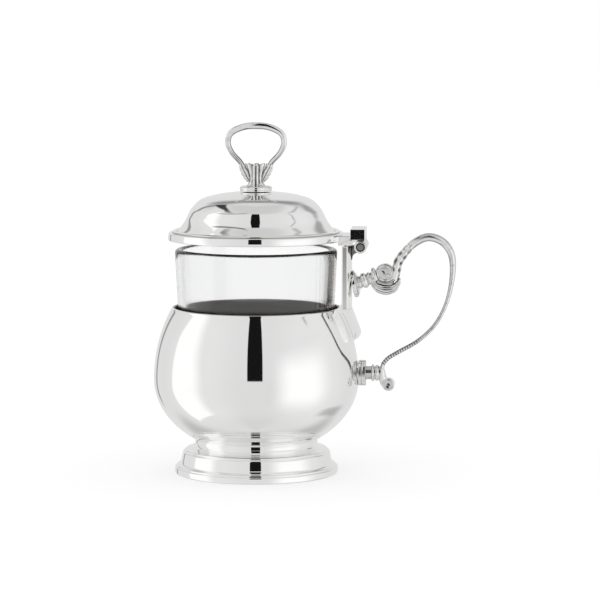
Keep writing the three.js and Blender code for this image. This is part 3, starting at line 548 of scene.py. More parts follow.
class NodeSheet:
    """The nodes of one material or world."""

    def __init__(self, tree: bpy.types.NodeTree) -> None:
        """Starts with no nodes."""
        self.tree = tree
        tree.nodes.clear()

    def node(self, kind: str, sockets: dict | None = None, **settings: str | bool) -> bpy.types.Node:
        """Adds a node.

        Args:
            kind: The node's type.
            sockets: The values or wires of its sockets, by name or number.
            **settings: Its settings, which are set first.

        Returns:
            The node.
        """
        node = self.tree.nodes.new(kind)
        for name, value in settings.items():
            setattr(node, name, value)
        for name, value in (sockets or {}).items():
            if isinstance(value, Wire):
                self.tree.links.new(value.socket, node.inputs[name])
            else:
                node.inputs[name].default_value = value
        return node

    def wire(
        self, kind: str, sockets: dict | None = None, output: str | int = 0, **settings: str | bool
    ) -> Wire:
        """Adds a node and returns one of its outputs, by name or number."""
        return Wire(self, self.node(kind, sockets, **settings).outputs[output])

    def maths(self, operation: str, *values: Wire | float) -> Wire:
        """Returns the result of a maths operation on values."""
        return self.wire("ShaderNodeMath", dict(enumerate(values)), operation=operation)

    def dot(self, vector: Wire, direction: Sequence[float]) -> Wire:
        """Returns how far a vector reaches along a direction."""
        return self.wire("ShaderNodeVectorMath", {0: vector, 1: direction}, "Value", operation="DOT_PRODUCT")

    def blend(self, share: Wire | float, first: Wire | Colour, second: Wire | Colour) -> Wire:
        """Returns a colour that goes from the first to the second with the share."""
        first, second = (value if isinstance(value, Wire) else (*value, 1) for value in (first, second))
        sockets = {0: share, 6: first, 7: second}
        return self.wire("ShaderNodeMix", sockets, 2, data_type="RGBA", clamp_factor=True)

    def place(self, scale: Sequence[float] = (1, 1, 1), centre: Sequence[float] = ORIGIN) -> Wire:
        """Returns the piece's own coordinates, scaled along each axis and centred on a given place."""
        shift = [-stretch * middle for stretch, middle in zip(scale, centre)]
        own = self.wire("ShaderNodeTexCoord", output="Object")
        return self.wire("ShaderNodeMapping", {"Vector": own, "Location": shift, "Scale": scale})

    def noise(self, vector: Wire, scale: float, detail: float = 2.0) -> Wire:
        """Returns a cloudy value about 0.5."""
        return self.wire("ShaderNodeTexNoise", {"Vector": vector, "Scale": scale, "Detail": detail})

    def relief(self, strength: float, distance: float, height: Wire) -> Wire:
        """Returns the normal of a surface with a relief, whose distance is in metres."""
        return self.wire("ShaderNodeBump", {"Strength": strength, "Distance": distance, "Height": height})


def new_material(name: str) -> tuple[bpy.types.Material, NodeSheet]:
    """Returns a new node material and its sheet of nodes."""
    material = bpy.data.materials.new(name)
    material.use_nodes = True
    return material, NodeSheet(material.node_tree)


@dataclass(frozen=True)
class Finish:
    """How a surface looks.

    Attributes:
        name: The material's name.
        tint: The colour of what it is made of.
    """

    name: str
    tint: Colour

    def toned(self, factor: float) -> Colour:
        """Returns the tint, darker or lighter by a factor."""
        return tuple(min(factor * part, 1.0) for part in self.tint)

    def sockets(self, sheet: NodeSheet) -> dict:
        """Returns the values and wires of the shader's sockets."""
        raise NotImplementedError

    def material(self) -> bpy.types.Material:
        """Returns the finish as a material."""
        material, sheet = new_material(self.name)
        shader = sheet.wire("ShaderNodeBsdfPrincipled", self.sockets(sheet))
        sheet.node("ShaderNodeOutputMaterial", {"Surface": shader})
        return material


@dataclass(frozen=True)
class SilverFinish(Finish):
    """Silver plate, brighter or duller, with faint polishing lines and patina, painted shade and painted
    reflections.

    Attributes:
        tarnish_and_shade: The colour that patina and painted shade darken the metal towards.
        roughness: How dull the clean metal is.
        haze: How much duller it gets in cloudy patches.
        lines: How strongly the polishing lines show in its relief.
        centre: Where the piece's own axis is, in metres.
        mottle: How far the metal darkens towards that colour in small random patches.
        metallic: How far it shines as metal and not as a dull oxide.
    """

    tarnish_and_shade: Colour
    roughness: float
    haze: float
    lines: float
    centre: Triple
    mottle: float = 0.0
    metallic: float = 1.0

    def sockets(self, sheet: NodeSheet) -> dict:
        """Returns the silver's colour, dullness and relief."""
        cloud = sheet.noise(sheet.place(centre=self.centre), 55.0, 3.0)
        patches = sheet.noise(sheet.place(centre=self.centre), 850.0).rise(0.5, 0.7)
        streaks = sheet.noise(sheet.place((60.0, 60.0, 2600.0), self.centre), 1.0, 3.0)
        recess = sheet.wire("ShaderNodeAttribute", output="Fac", attribute_name="recess")
        clean = sheet.blend(cloud.rise(0.35, 0.75), self.tint, self.toned(0.975))
        return {
            # The recess layer darkens the colour: patina, painted shade and painted reflections.
            "Base Color": sheet.blend(recess + self.mottle * patches, clean, self.tarnish_and_shade),
            "Metallic": self.metallic,
            "Roughness": self.roughness + self.haze * cloud + 0.25 * recess,
            "Normal": sheet.relief(self.lines, 0.00002, streaks),
        }


@dataclass(frozen=True)
class GlassFinish(Finish):
    """Clear pressed glass with a faint ripple.

    Attributes:
        index: Its refractive index.
        ripple: How strongly its surface is rippled.
    """

    index: float
    ripple: float

    def sockets(self, sheet: NodeSheet) -> dict:
        """Returns the glass's colour, clearness and relief."""
        waves = sheet.noise(sheet.place((90.0, 90.0, 40.0)), 1.0, 1.0)
        return {
            "Base Color": sheet.blend(sheet.noise(sheet.place(), 30.0), self.tint, self.toned(1.01)),
            "Roughness": 0.0,
            "IOR": self.index,
            "Transmission Weight": 1.0,
            "Normal": sheet.relief(self.ripple, 0.0001, waves),
        }


@dataclass(frozen=True)
class SteelFinish(Finish):
    """Dull steel with fine turning marks.

    Attributes:
        roughness: How dull it is.
    """

    roughness: float

    def sockets(self, sheet: NodeSheet) -> dict:
        """Returns the steel's colour, dullness and relief."""
        cloud = sheet.noise(sheet.place(), 400.0, 3.0)
        marks = sheet.noise(sheet.place((300.0, 4000.0, 300.0)), 1.0)
        return {
            "Base Color": sheet.blend(cloud, self.tint, self.toned(0.8)),
            "Metallic": 1.0,
            "Roughness": self.roughness + 0.15 * cloud,
            "Normal": sheet.relief(0.15, 0.00005, marks),
        }


class Workshop:
    """Turns forms into finished pieces that ride on the frame, and keeps the finishes."""

    def __init__(self) -> None:
        """Finds the pot's axis and makes the finishes."""
        low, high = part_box("bowl")
        self.axis = Vector(((low.x + high.x) / 2, 0.0, 0.0))
        centre = tuple(self.axis)
        bright, cast, oxide = (0.93, 0.93, 0.925), (0.86, 0.86, 0.855), (0.72, 0.655, 0.615)
        # The next two lines hold a darker copy of the silver, painted shade for the post's face towards the
        # bowl, and the colours that patina and painted shade darken the metal towards.
        dull, sheet_patina_and_shade, grey = (0.36, 0.34, 0.32), (0.4, 0.38, 0.35), (0.3, 0.3, 0.3)
        deep = (0.085, 0.078, 0.072)
        finishes = (
            SilverFinish("polished_silver", bright, sheet_patina_and_shade, 0.02, 0.02, 0.03, centre),
            SilverFinish("cast_silver", cast, deep, 0.05, 0.05, 0.08, centre, 0.2),
            SilverFinish("silver_inside", oxide, oxide, 0.45, 0.15, 0.1, centre, 0.0, 0.6),
            # Painted shade: a darkened copy of the silver for the post's face towards the bowl.
            SilverFinish("silver_post_back", dull, grey, 0.25, 0.12, 0.1, centre),
            GlassFinish("clear_glass", (0.93, 0.935, 0.932), 1.5, 0.02),
            SteelFinish("dull_steel", (0.3, 0.29, 0.285), 0.28),
        )
        made = (finish.material() for finish in finishes)
        self.sheet, self.casting, self.inside, self.post_back, self.glass, self.steel = made

    def piece(
        self,
        form: Form,
        node: str,
        body: Body,
        slot: Slot,
        finishes: Sequence[bpy.types.Material],
        smoother: float,
    ) -> None:
        """Finishes a piece that stands for a node of the frame.

        Args:
            form: The piece's form, in millimetres from the pot's axis.
            node: The node that it replaces.
            body: The body that it rides on.
            slot: The record's slot for its finish; not used.
            finishes: Its materials.
            smoother: The angle in degrees below which two faces are shaded as one surface.
        """
        place = Matrix.Translation(self.axis) @ Matrix.Scale(METRES, 4)
        bmesh.ops.transform(form.mesh, matrix=place, verts=form.mesh.verts)
        mesh = bpy.data.meshes.new(node + "_fine")
        form.mesh.to_mesh(mesh)
        form.mesh.free()
        for finish in finishes:
            mesh.materials.append(finish)
        mesh.polygons.foreach_set("use_smooth", [True] * len(mesh.polygons))
        mesh.set_sharp_from_angle(angle=math.radians(smoother))
        piece = bpy.data.objects.new(node + "_fine", mesh)
        bpy.context.scene.collection.objects.link(piece)
        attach(piece, body.value)
        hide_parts(node)
        self._report(piece, node)

    @staticmethod
    def _report(piece: bpy.types.Object, node: str) -> None:
        """Logs how far a piece's box lies from its node's."""
        corners = [vert.co for vert in piece.data.vertices]
        box = [Vector(pick(co[axis] for co in corners) for axis in range(3)) for pick in (min, max)]
        apart = [round(value / METRES, 2) for own, other in zip(box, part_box(node)) for value in own - other]
        LOG.info("%s: %d faces, box off its node's by %s mm", piece.name, len(piece.data.polygons), apart)

    def dress(self, node: str, finish: bpy.types.Material) -> None:
        """Gives a node of the frame that stays a better finish."""
        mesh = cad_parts[node].data
        if not mesh.materials:
            mesh.materials.append(finish)
        for index in range(len(mesh.materials)):
            mesh.materials[index] = finish
        LOG.info("%s: kept from the frame, with the finish %s", node, finish.name)


@dataclass
class Assembly:
    """Pieces that are built together.

    Attributes:
        shop: Where they are finished.
        rides: The body that they ride on.
    """

    shop: Workshop
    rides: ClassVar[Body] = Body.POT

    def plate(
        self, node: str, form: Form, *others: bpy.types.Material, smoother: float = SMOOTH_ANGLE
    ) -> None:
        """Finishes a piece of silver sheet, some faces of which may have another finish."""
        self.shop.piece(form, node, self.rides, Slot.SHEET, [self.shop.sheet, *others], smoother)

    def cast(self, node: str, form: Form, smoother: float = SMOOTH_ANGLE) -> None:
        """Finishes a silver casting."""
        self.shop.piece(form, node, self.rides, Slot.CASTING, [self.shop.casting], smoother)


@dataclass
class PotBody(Assembly):
    """The bowl on its foot."""

    foot_radius: float = 26.0
    band_height: float = 2.2
    band_width: float = 2.2
    band_round: float = 0.5
    foot_wall: float = 1.1
    drum_radius: float = 24.0
    drum_taper: float = 0.5
    drum_bottom: float = 3.7
    drum_top: float = 6.4
    shoulder_round: float = 0.7
    neck_radius: float = 18.8
    neck_foot: float = 7.45
    neck_cove: float = 1.3
    neck_top: float = 9.6
    collar_radius: float = 20.0
    collar_top: float = 10.85
    bowl_radius: float = 32.6
    bowl_widest: float = 30.0238
    bowl_lower: float = 23.9
    bowl_upper: float = 40.0
    bowl_mouth: float = 52.6238
    bowl_lip: float = 0.35
    bowl_wall: float = 1.0

    def radius_at(self, height: float) -> float:
        """Returns the bowl's outer radius at a height."""
        reach = self.bowl_lower if height < self.bowl_widest else self.bowl_upper
        return self.bowl_radius * math.sqrt(1 - ((height - self.bowl_widest) / reach) ** 2)

    def build(self) -> None:
        """Builds the four pieces."""
        self._foot_wire()
        self._foot()
        self._collar()
        self._bowl()

    def _foot_wire(self) -> None:
        """Builds the band that the pot stands on."""
        inner, top, edge = self.foot_radius - self.band_width, self.band_height, self.band_round
        rim = self.foot_radius - edge
        outline = Outline((inner, 0.12), (inner + 0.12, 0.0)).arc((rim, edge), edge, -90, 0)
        self.plate("foot_wire", lathed(outline.arc((rim, top - edge), edge, 0, 90).to((inner, top))))

    def _foot(self) -> None:
        """Builds the stepped foot."""
        drum, drum_rim, neck = self.drum_radius, self.drum_radius - self.drum_taper, self.neck_radius
        step, band, edge = self.foot_radius - 0.6, self.band_height, self.shoulder_round
        outline = Outline((step, band), (step - 0.02, band + 0.28))
        outline.arc((step - 0.34, band + 0.22), (0.32, 0.3), 20, 90, 5)
        outline.arc((drum + 0.95, self.drum_bottom), (0.95, 0.98), 270, 180)
        outline.to((drum, self.drum_bottom + 0.3))
        outline.arc((drum_rim - edge, self.drum_top), edge, 0, 75)
        outline.arc((drum_rim - 1.15, self.neck_foot - 0.2), 0.4, 0, 85, 6)
        cove = (drum_rim - 1.2, self.neck_top)
        outline.arc(cove, (cove[0] - neck - 0.2, self.neck_top - self.neck_foot - 0.2), 268, 181, 16)
        outline.to((neck + 0.2, self.neck_top))
        outer_sizes = (drum, drum_rim, neck, self.neck_foot)
        drum, drum_rim, neck, roof = (size - self.foot_wall for size in outer_sizes)
        inside = Outline((neck, self.neck_top), (neck, roof + self.neck_cove), (neck + self.neck_cove, roof))
        inside.to((drum_rim - edge, roof - 0.35), (drum_rim, self.drum_top - self.foot_wall))
        inside.to((drum, self.drum_bottom - 0.5), (drum, band))
        form = lathed(outline.to(*inside.rounded(0.5).points))
        form.line_faces(lambda face: face.normal.z < -0.2 and from_axis(face) < drum + 0.05)
        self.plate("foot", form, self.shop.inside)

    def _collar(self) -> None:
        """Builds the rounded ring between the foot and the bowl."""
        inner, rim, low = self.radius_at(self.neck_top + 0.55), self.collar_radius - 0.45, self.neck_top
        outline = Outline((inner, low), (rim - 0.3, low)).arc((rim - 0.12, low + 0.12), 0.12, -90, 9, 5)
        outline.arc((rim - 0.33, self.collar_top - 0.14), (0.14, 0.12), 9, 80, 5).to((inner, low + 0.3))
        self.plate("collar_bead", lathed(outline))

    def _bowl(self) -> None:
        """Builds the bulbous bowl with its thin lip."""
        mouth = math.degrees(math.asin((self.bowl_mouth - self.bowl_widest) / self.bowl_upper))
        centre, base, half = (0.0, self.bowl_widest), self.bowl_widest - self.bowl_lower, self.bowl_wall / 2
        inner = self.bowl_radius - self.bowl_wall
        outline = Outline((0.0, base)).arc(centre, (self.bowl_radius, self.bowl_lower), -89, 0, 56)
        outline.arc(centre, (self.bowl_radius, self.bowl_upper), 1, mouth, 32)
        lip = (self.radius_at(self.bowl_mouth) - half, self.bowl_mouth)
        outline.arc(lip, (half, self.bowl_lip), 20, 160)
        outline.arc(centre, (inner, self.bowl_upper), mouth, 1, 32)
        outline.arc(centre, (inner, self.bowl_lower - self.bowl_wall), 0, -89, 48)
        form = lathed(outline.to((0.0, base + self.bowl_wall)), 192)

        def is_inside(face: bmesh.types.BMFace) -> bool:
            """Returns whether a face belongs to the inner wall."""
            middle = face.calc_center_median()
            flat = middle.to_2d()
            deep = flat.length < self.radius_at(min(middle.z, self.bowl_mouth)) - 0.7 * self.bowl_wall
            return deep or (face.normal.to_2d().dot(flat) < 0 and face.normal.z > -0.5)

        form.line_faces(is_inside)
        self.plate("bowl", form, self.shop.inside)


@dataclass
class GlassLiner(Assembly):
    """The glass that stands in the bowl."""

    rides: ClassVar[Body] = Body.LINER
    base: float = 8.994
    top: float = 71.594
    base_radius: float = 11.5
    corner_radius: float = 22.7729
    corner_height: float = 13.5
    mouth_radius: float = 24.8729
    mouth_height: float = 52.6238
    rim_radius: float = 25.7729
    wall: float = 2.4
    floor: float = 3.5

    def build(self) -> None:
        """Builds the glass with its rounded rim."""
        base, share, half = self.base, self.base_radius / self.corner_radius, self.wall / 2
        rise = self.corner_height * math.sqrt(1 - share**2)
        corner = (0.0, base + rise)
        outline = Outline((0.0, base + 0.5), (self.base_radius - 2.0, base + 0.15))
        outline.to((self.base_radius - 1.0, base))
        outline.arc(corner, (self.corner_radius, self.corner_height), -math.degrees(math.acos(share)), 0, 24)
        outline.to(*self._flank(corner[1], 0.0))
        outline.arc((self.rim_radius - half, self.top - half), half, 0, 180, 14)
        outline.to(*reversed(self._flank(corner[1], self.wall)))
        outline.arc(corner, (self.corner_radius - self.wall, rise - self.floor), 0, -88, 24)
        form = lathed(outline.to((0.0, base + self.floor)), 160)
        self.shop.piece(form, "glass_liner", self.rides, Slot.GLASS, [self.shop.glass], smoother=60)

    def _flank(self, start: float, inset: float) -> list[Point]:
        """Returns the points of the upright wall, which widens in two straight stretches.

        Args:
            start: The height where it starts.
            inset: How far it lies within the outer face.

        Returns:
            The points above the start.
        """
        radii = (self.corner_radius, self.mouth_radius, self.rim_radius)
        low, middle, high = (radius - inset for radius in radii)
        bend, end = self.mouth_height, self.top - self.wall / 2
        points = [(mix(low, middle, step / 8), mix(start, bend, step / 8)) for step in range(1, 9)]
        return points + [(mix(middle, high, step / 6), mix(bend, end, step / 6)) for step in range(1, 6)]


@dataclass(frozen=True)
class Hinge:
    """The sizes that the post and the lid share where they meet."""

    x: float = 33.398
    z: float = 72.694
    length: float = 16.0
    radius: float = 2.0
    bore: float = 1.28

    def knuckle(self, form: Form, length: float, middle: float = 0.0, shade: Shade | None = None) -> None:
        """Adds a knuckle with rounded ends and a countersunk bore.

        Args:
            form: The form that takes it.
            length: Its length.
            middle: Where its middle lies along y.
            shade: How far patina and painted shade darken it.
        """
        edge, half, bore, rim = 0.2, length / 2, self.bore, self.radius - 0.2
        outline = Outline((bore, -half + edge), (bore + edge, -half))
        outline.arc((rim, -half + edge), edge, -90, 0, 4)
        outline.arc((rim, half - edge), edge, 0, 90, 4).to((bore + edge, half), (bore, half - edge))
        form.turned(outline, 64, on_y(self.x, self.z, middle), shade)


HINGE = Hinge()


@dataclass
class Lid(Assembly):
    """The domed lid with its flange, bead and hinge parts.

    Attributes:
        dome_line: Places on the dome, as shares of its radius and of its height.
    """

    rides: ClassVar[Body] = Body.LID
    dome_line: ClassVar[tuple[Point, ...]] = (
        (1.0, 0.03), (0.979, 0.085), (0.951, 0.155), (0.921, 0.235), (0.8975, 0.31),
        (0.868, 0.43), (0.825, 0.575), (0.715, 0.785), (0.54, 0.9), (0.3, 0.97),
    )
    flange_bottom: float = 74.294
    flange_top: float = 76.794
    flange_radius: float = 27.9729
    flange_inner: float = 23.5729
    dome_radius: float = 24.8729
    dome_top: float = 89.794
    dome_wall: float = 1.0
    bead_radius: float = 0.75
    bead_gap: float = 0.25
    stud_hole: float = 1.55
    knuckle_length: float = 4.9
    block_left: float = 30.798
    block_right: float = 34.798
    block_bottom: float = 74.994
    block_height: float = 3.3
    block_lap: float = 0.6
    leaf_bottom: float = 73.294
    leaf_lap: float = 1.6
    leaf_bridge: float = 1.9

    def build(self) -> None:
        """Builds the lid's pieces below the finial."""
        self._flange()
        self._dome()
        self._bead()
        self._leaf()
        self._block()
        for name, side in (("lid_knuckle_front", -1), ("lid_knuckle_back", 1)):
            self._knuckle(name, side)

    def _flange(self) -> None:
        """Builds the flange, with a thin lip over a rounded edge."""
        inner, rim, low, high = self.flange_inner, self.flange_radius, self.flange_bottom, self.flange_top
        outline = Outline((inner, low + 0.15), (inner + 0.15, low), (rim - 0.35, low))
        outline.arc((rim - 0.3, low + 0.45), (0.3, 0.45), -90, 0, 6)
        outline.arc((rim - 0.63, high - 0.45), 0.45, 7, 90).to((inner, high))
        self.plate("lid_flange", lathed(outline))

    def _dome(self) -> None:
        """Builds the dome: a small cove at its foot, a smooth flank, a shoulder and a flat crown."""
        foot, wall, steps = self.flange_top, self.dome_wall, 96
        height = self.dome_top - foot
        stops = [(share * self.dome_radius, foot + rise * height) for share, rise in self.dome_line]
        route = Route([*stops, (self.stud_hole, self.dome_top)])
        places = [(route.at(step / steps), route.forward(step / steps)) for step in range(steps + 1)]
        inner = [(place.x - wall * forward.z, place.z + wall * forward.x) for place, forward in places[:-1]]
        inner = [(min(radius, self.dome_radius - 1.6), max(z, foot)) for radius, z in inner]
        upper = [place for place in inner if place[1] > foot + 0.2]
        inner = [inner[0], *upper, (self.stud_hole, self.dome_top - wall)]
        outer = ((place.x, place.z) for place, _ in places)
        form = lathed(Outline((self.dome_radius, foot), *outer, *reversed(inner)), 168)
        form.line_faces(lambda face: face.normal.z < -0.15)
        self.plate("lid_dome", form, self.shop.inside)

    def _bead(self) -> None:
        """Builds the half-round wire at the foot of the dome."""
        foot, radius = self.flange_top, self.bead_radius
        outline = Outline().arc((self.dome_radius + self.bead_gap + radius, foot), radius, 0, 180, 12)
        # Painted shade along the bead's foot, in the crease where it meets the flange.
        self.plate("lid_bead", lathed(outline, shade=lambda co: 1 - eased(co.z, foot + 0.15, foot + 0.4)))

    def _leaf(self) -> None:
        """Builds the leaf that laps under the flange and bridges to the block."""
        start, end = self.flange_radius - self.leaf_lap, self.block_left
        low, ledge, top = self.leaf_bottom, self.block_bottom, self.flange_bottom + self.leaf_bridge
        notch = end - self.block_lap
        corners = [(start, low), (end, low), (end, ledge), (notch, ledge), (notch, top), (start, top)]
        form = Form()
        form.bevelled(form.prism(corners, HINGE.length), 0.18)
        self.cast("lid_leaf", form, SQUARE_ANGLE)

    def _block(self) -> None:
        """Builds the square block over the hinge, its ends leaning back a little."""
        left, right, low = self.block_left - self.block_lap, self.block_right, self.block_bottom
        top = low + self.block_height
        form = Form()
        verts = form.prism([(left, low), (right, low), (right, top), (left, top)], HINGE.length)
        for vert in verts:
            lean = 0.29 * (vert.co.z > low + 1) + 0.3 * (vert.co.x > self.block_left + 1)
            vert.co.y -= math.copysign(lean, vert.co.y)
        form.bevelled(verts, 0.11)
        self.cast("thumb_block", form, SQUARE_ANGLE)

    def _knuckle(self, name: str, side: int) -> None:
        """Builds one of the lid's knuckles: a short tube with a tab that reaches up to the block.

        Args:
            name: The node's name.
            side: -1 for the front one, 1 for the back one.
        """
        left, right, low = self.block_left, self.block_right, HINGE.z + 0.8 * HINGE.radius
        length, top = self.knuckle_length, self.block_bottom
        middle = side * (HINGE.length - length) / 2

        def shade(co: Vector) -> float:
            """Returns painted shade in a line round the bore."""
            return 1 - eased(co.to_2d().length, HINGE.bore + 0.02, HINGE.bore + 0.2)

        form = Form()
        HINGE.knuckle(form, length, middle, shade)
        corners = [(left, low), (right, low), (right, top + 0.05), (left, top + 0.05)]
        tab = form.prism(corners, length, middle)
        for vert in tab:
            if vert.co.z > top:
                vert.co.y -= math.copysign(0.08, vert.co.y - middle)
        form.bevelled(tab, 0.08)
        self.cast(name, form, 20.0)


@dataclass
class Finial(Assembly):
    """The finger loop on its leafy calyx, on the crown of the lid.

    Attributes:
        calyx_line: The calyx's radii, each with its share of the height.
    """

    rides: ClassVar[Body] = Body.LID
    calyx_line: ClassVar[tuple[Point, ...]] = (
        (3.3, 0.0), (2.75, 0.07), (2.35, 0.2), (2.3, 0.36),
        (2.5, 0.55), (2.95, 0.78), (3.45, 0.94), (3.4, 1.0),
    )
    base: float = 90.094
    disc_radius: float = 5.15
    disc_height: float = 1.35
    step_radius: float = 3.6
    stud_radius: float = 1.4
    stud_bottom: float = 85.394
    calyx_base: float = 91.444
    calyx_height: float = 6.8
    loop_base: float = 98.544
    loop_height: float = 11.9
    loop_half_width: float = 8.9

    @property
    def calyx_top(self) -> float:
        """The height of the calyx's top."""
        return self.calyx_base + self.calyx_height

    def build(self) -> None:
        """Builds the finial's pieces."""
        self._base()
        self._calyx()
        self._loop()
        self.shop.dress("finial_nut", self.shop.steel)

    def _base(self) -> None:
        """Builds the disc on the crown, with its stud."""
        half, stud, low = self.disc_height / 2, self.stud_radius, self.stud_bottom
        seat, top = self.base - 0.3, self.base + self.disc_height
        rim = (self.disc_radius - half - 0.1, self.base + half - 0.15)
        reach, slope = (half + 0.1, half + 0.15), 32
        outline = Outline((0.0, low), (stud - 0.2, low), (stud, low + 0.2), (stud, self.base), (stud, seat))
        outline.to((rim[0] + reach[0] * math.cos(math.radians(slope)), seat)).arc(rim, reach, -slope, 75, 14)
        self.cast("finial_base", lathed(outline.to((self.step_radius - 0.3, top), (0.0, top)), 72))

    def _calyx(self) -> None:
        """Builds the fluted calyx with its scalloped top, and the leaf at each side that meets the loop."""
        low, height, top = self.calyx_base, self.calyx_height, self.calyx_top
        route = Route([(radius, low + share * height) for radius, share in self.calyx_line])
        outline = Outline((0.0, low)).to(*(tuple(route.at(step / 40).xz) for step in range(41)))
        form = Form()
        for vert in form.turned(outline.to((2.9, top - 0.1), (2.2, top - 0.3), (0.0, top - 0.4))):
            share = (vert.co.z - low) / height
            flute = 0.5 + 0.5 * math.cos(8 * math.atan2(vert.co.y, vert.co.x))
            strength = eased(share, 0.04, 0.2)
            narrow = 1 - 0.22 * strength * (1 - flute) ** 1.5
            rise = 0.35 * eased(share, 0.8, 0.97) * flute
            vert.co = Vector((vert.co.x * narrow, vert.co.y * narrow * 0.7, vert.co.z + rise))
            # Patina and painted shade in the hollows between the flutes.
            vert[form.recess] = strength * (1 - flute) ** 3
        for side in (-1, 1):
            self._side_leaf(form, side)
            self._column(form, side)
        self.cast("finial_calyx", form)

    def _column(self, form: Form, side: int) -> None:
        """Adds the flat column that leans back against the front or the back of the calyx."""
        low, top = self.calyx_base, self.calyx_top
        outline = Outline((0.0, low), (1.35, low), (1.05, low + 0.8), (0.95, low + 3.0))
        outline.to((1.1, top - 0.3), (0.0, top))
        for vert in form.turned(outline, 48):
            lean = 0.4 * (vert.co.z - low) / self.calyx_height
            # Painted shade along the column's sides and in a dark line down its middle that stands for a
            # groove.
            vert[form.recess] = 0.7 * eased(abs(vert.co.x), 0.75, 0.95) + bump(vert.co.x, 0.0, 0.16)
            vert.co.y = 0.4 * vert.co.y + side * (2.35 - lean)

    def _side_leaf(self, form: Form, side: int) -> None:
        """Adds the toothed leaf that runs from one side of the calyx's neck up to the loop's end."""
        low, top = self.calyx_base, self.calyx_top
        stops = [(1.7, low + 1.3), (2.5, low + 2.3), (3.3, low + 3.9), (4.3, top - 1.0), (4.95, top + 0.45)]
        size_at = sized([1.2, 2.3, 2.6, 2.2, 1.5], [2.6, 3.0, 2.9, 2.3, 1.6])

        def section(angle: float, share: float) -> Surface:
            """Returns the leaf's surface: teeth along its outer edge, and a vein along its middle darkened by
            patina and painted shade.
            """
            across, outer = math.cos(angle), max(math.cos(angle), 0.0)
            tooth = abs(math.sin(math.pi * 5 * share)) * outer**2 * (1 - eased(share, 0.75, 1.0))
            vein = bump(across, -0.05, 0.16) + 0.7 * bump(across, 0.62, 0.12)
            deep = vein * (1 - eased(share, 0.8, 1.0))
            depth = math.sin(angle) * (1 - 0.2 * deep)
            return across * (1 + 0.22 * tooth) - 0.1 * outer, depth, 0.85 * deep

        bar = BarShape(size_at, section, 60, 40, 0.5, 0.5)
        form.swept(Route(stops), bar, Matrix.Scale(side, 4, (1, 0, 0)))

    def _loop(self) -> None:
        """Builds the oval finger loop."""
        half, base, corner = self.loop_half_width, self.loop_base, self.loop_half_width - 0.8
        top = base + self.loop_height
        side = [(4.0, base - 1.2), (5.1, base + 0.5), (7.6, base + 3.3), (half, base + 6.4)]
        side += [(corner, top - 2.5), (corner / 2, top - 0.4)]
        route = Route([*side, (0.0, top), *((-x, z) for x, z in reversed(side))])
        sizes = [1.6, 1.65, 1.9, 2.1, 2.18, 2.1, 1.9, 1.65, 1.6]

        def section(angle: float, share: float) -> Surface:
            """Returns the wire's surface: flattened, with painted shade along its inner edge and a painted
            dark reflection low on its sides.
            """
            across, flat = squared(angle, 0.62)
            low = 1 - eased(abs(2 * share - 1), 0.45, 0.95)
            edge = eased(-across, 0.42, 0.9) * mix(1.0, 0.5, low)
            return across, flat, edge + bump(across, 0.5, 0.3) * 0.9 * (1 - low)

        form = Form()
        form.swept(route, BarShape(sized(sizes, sizes), section, 160, 44, 0.6, 0.6))
        self.cast("finial_loop", form)


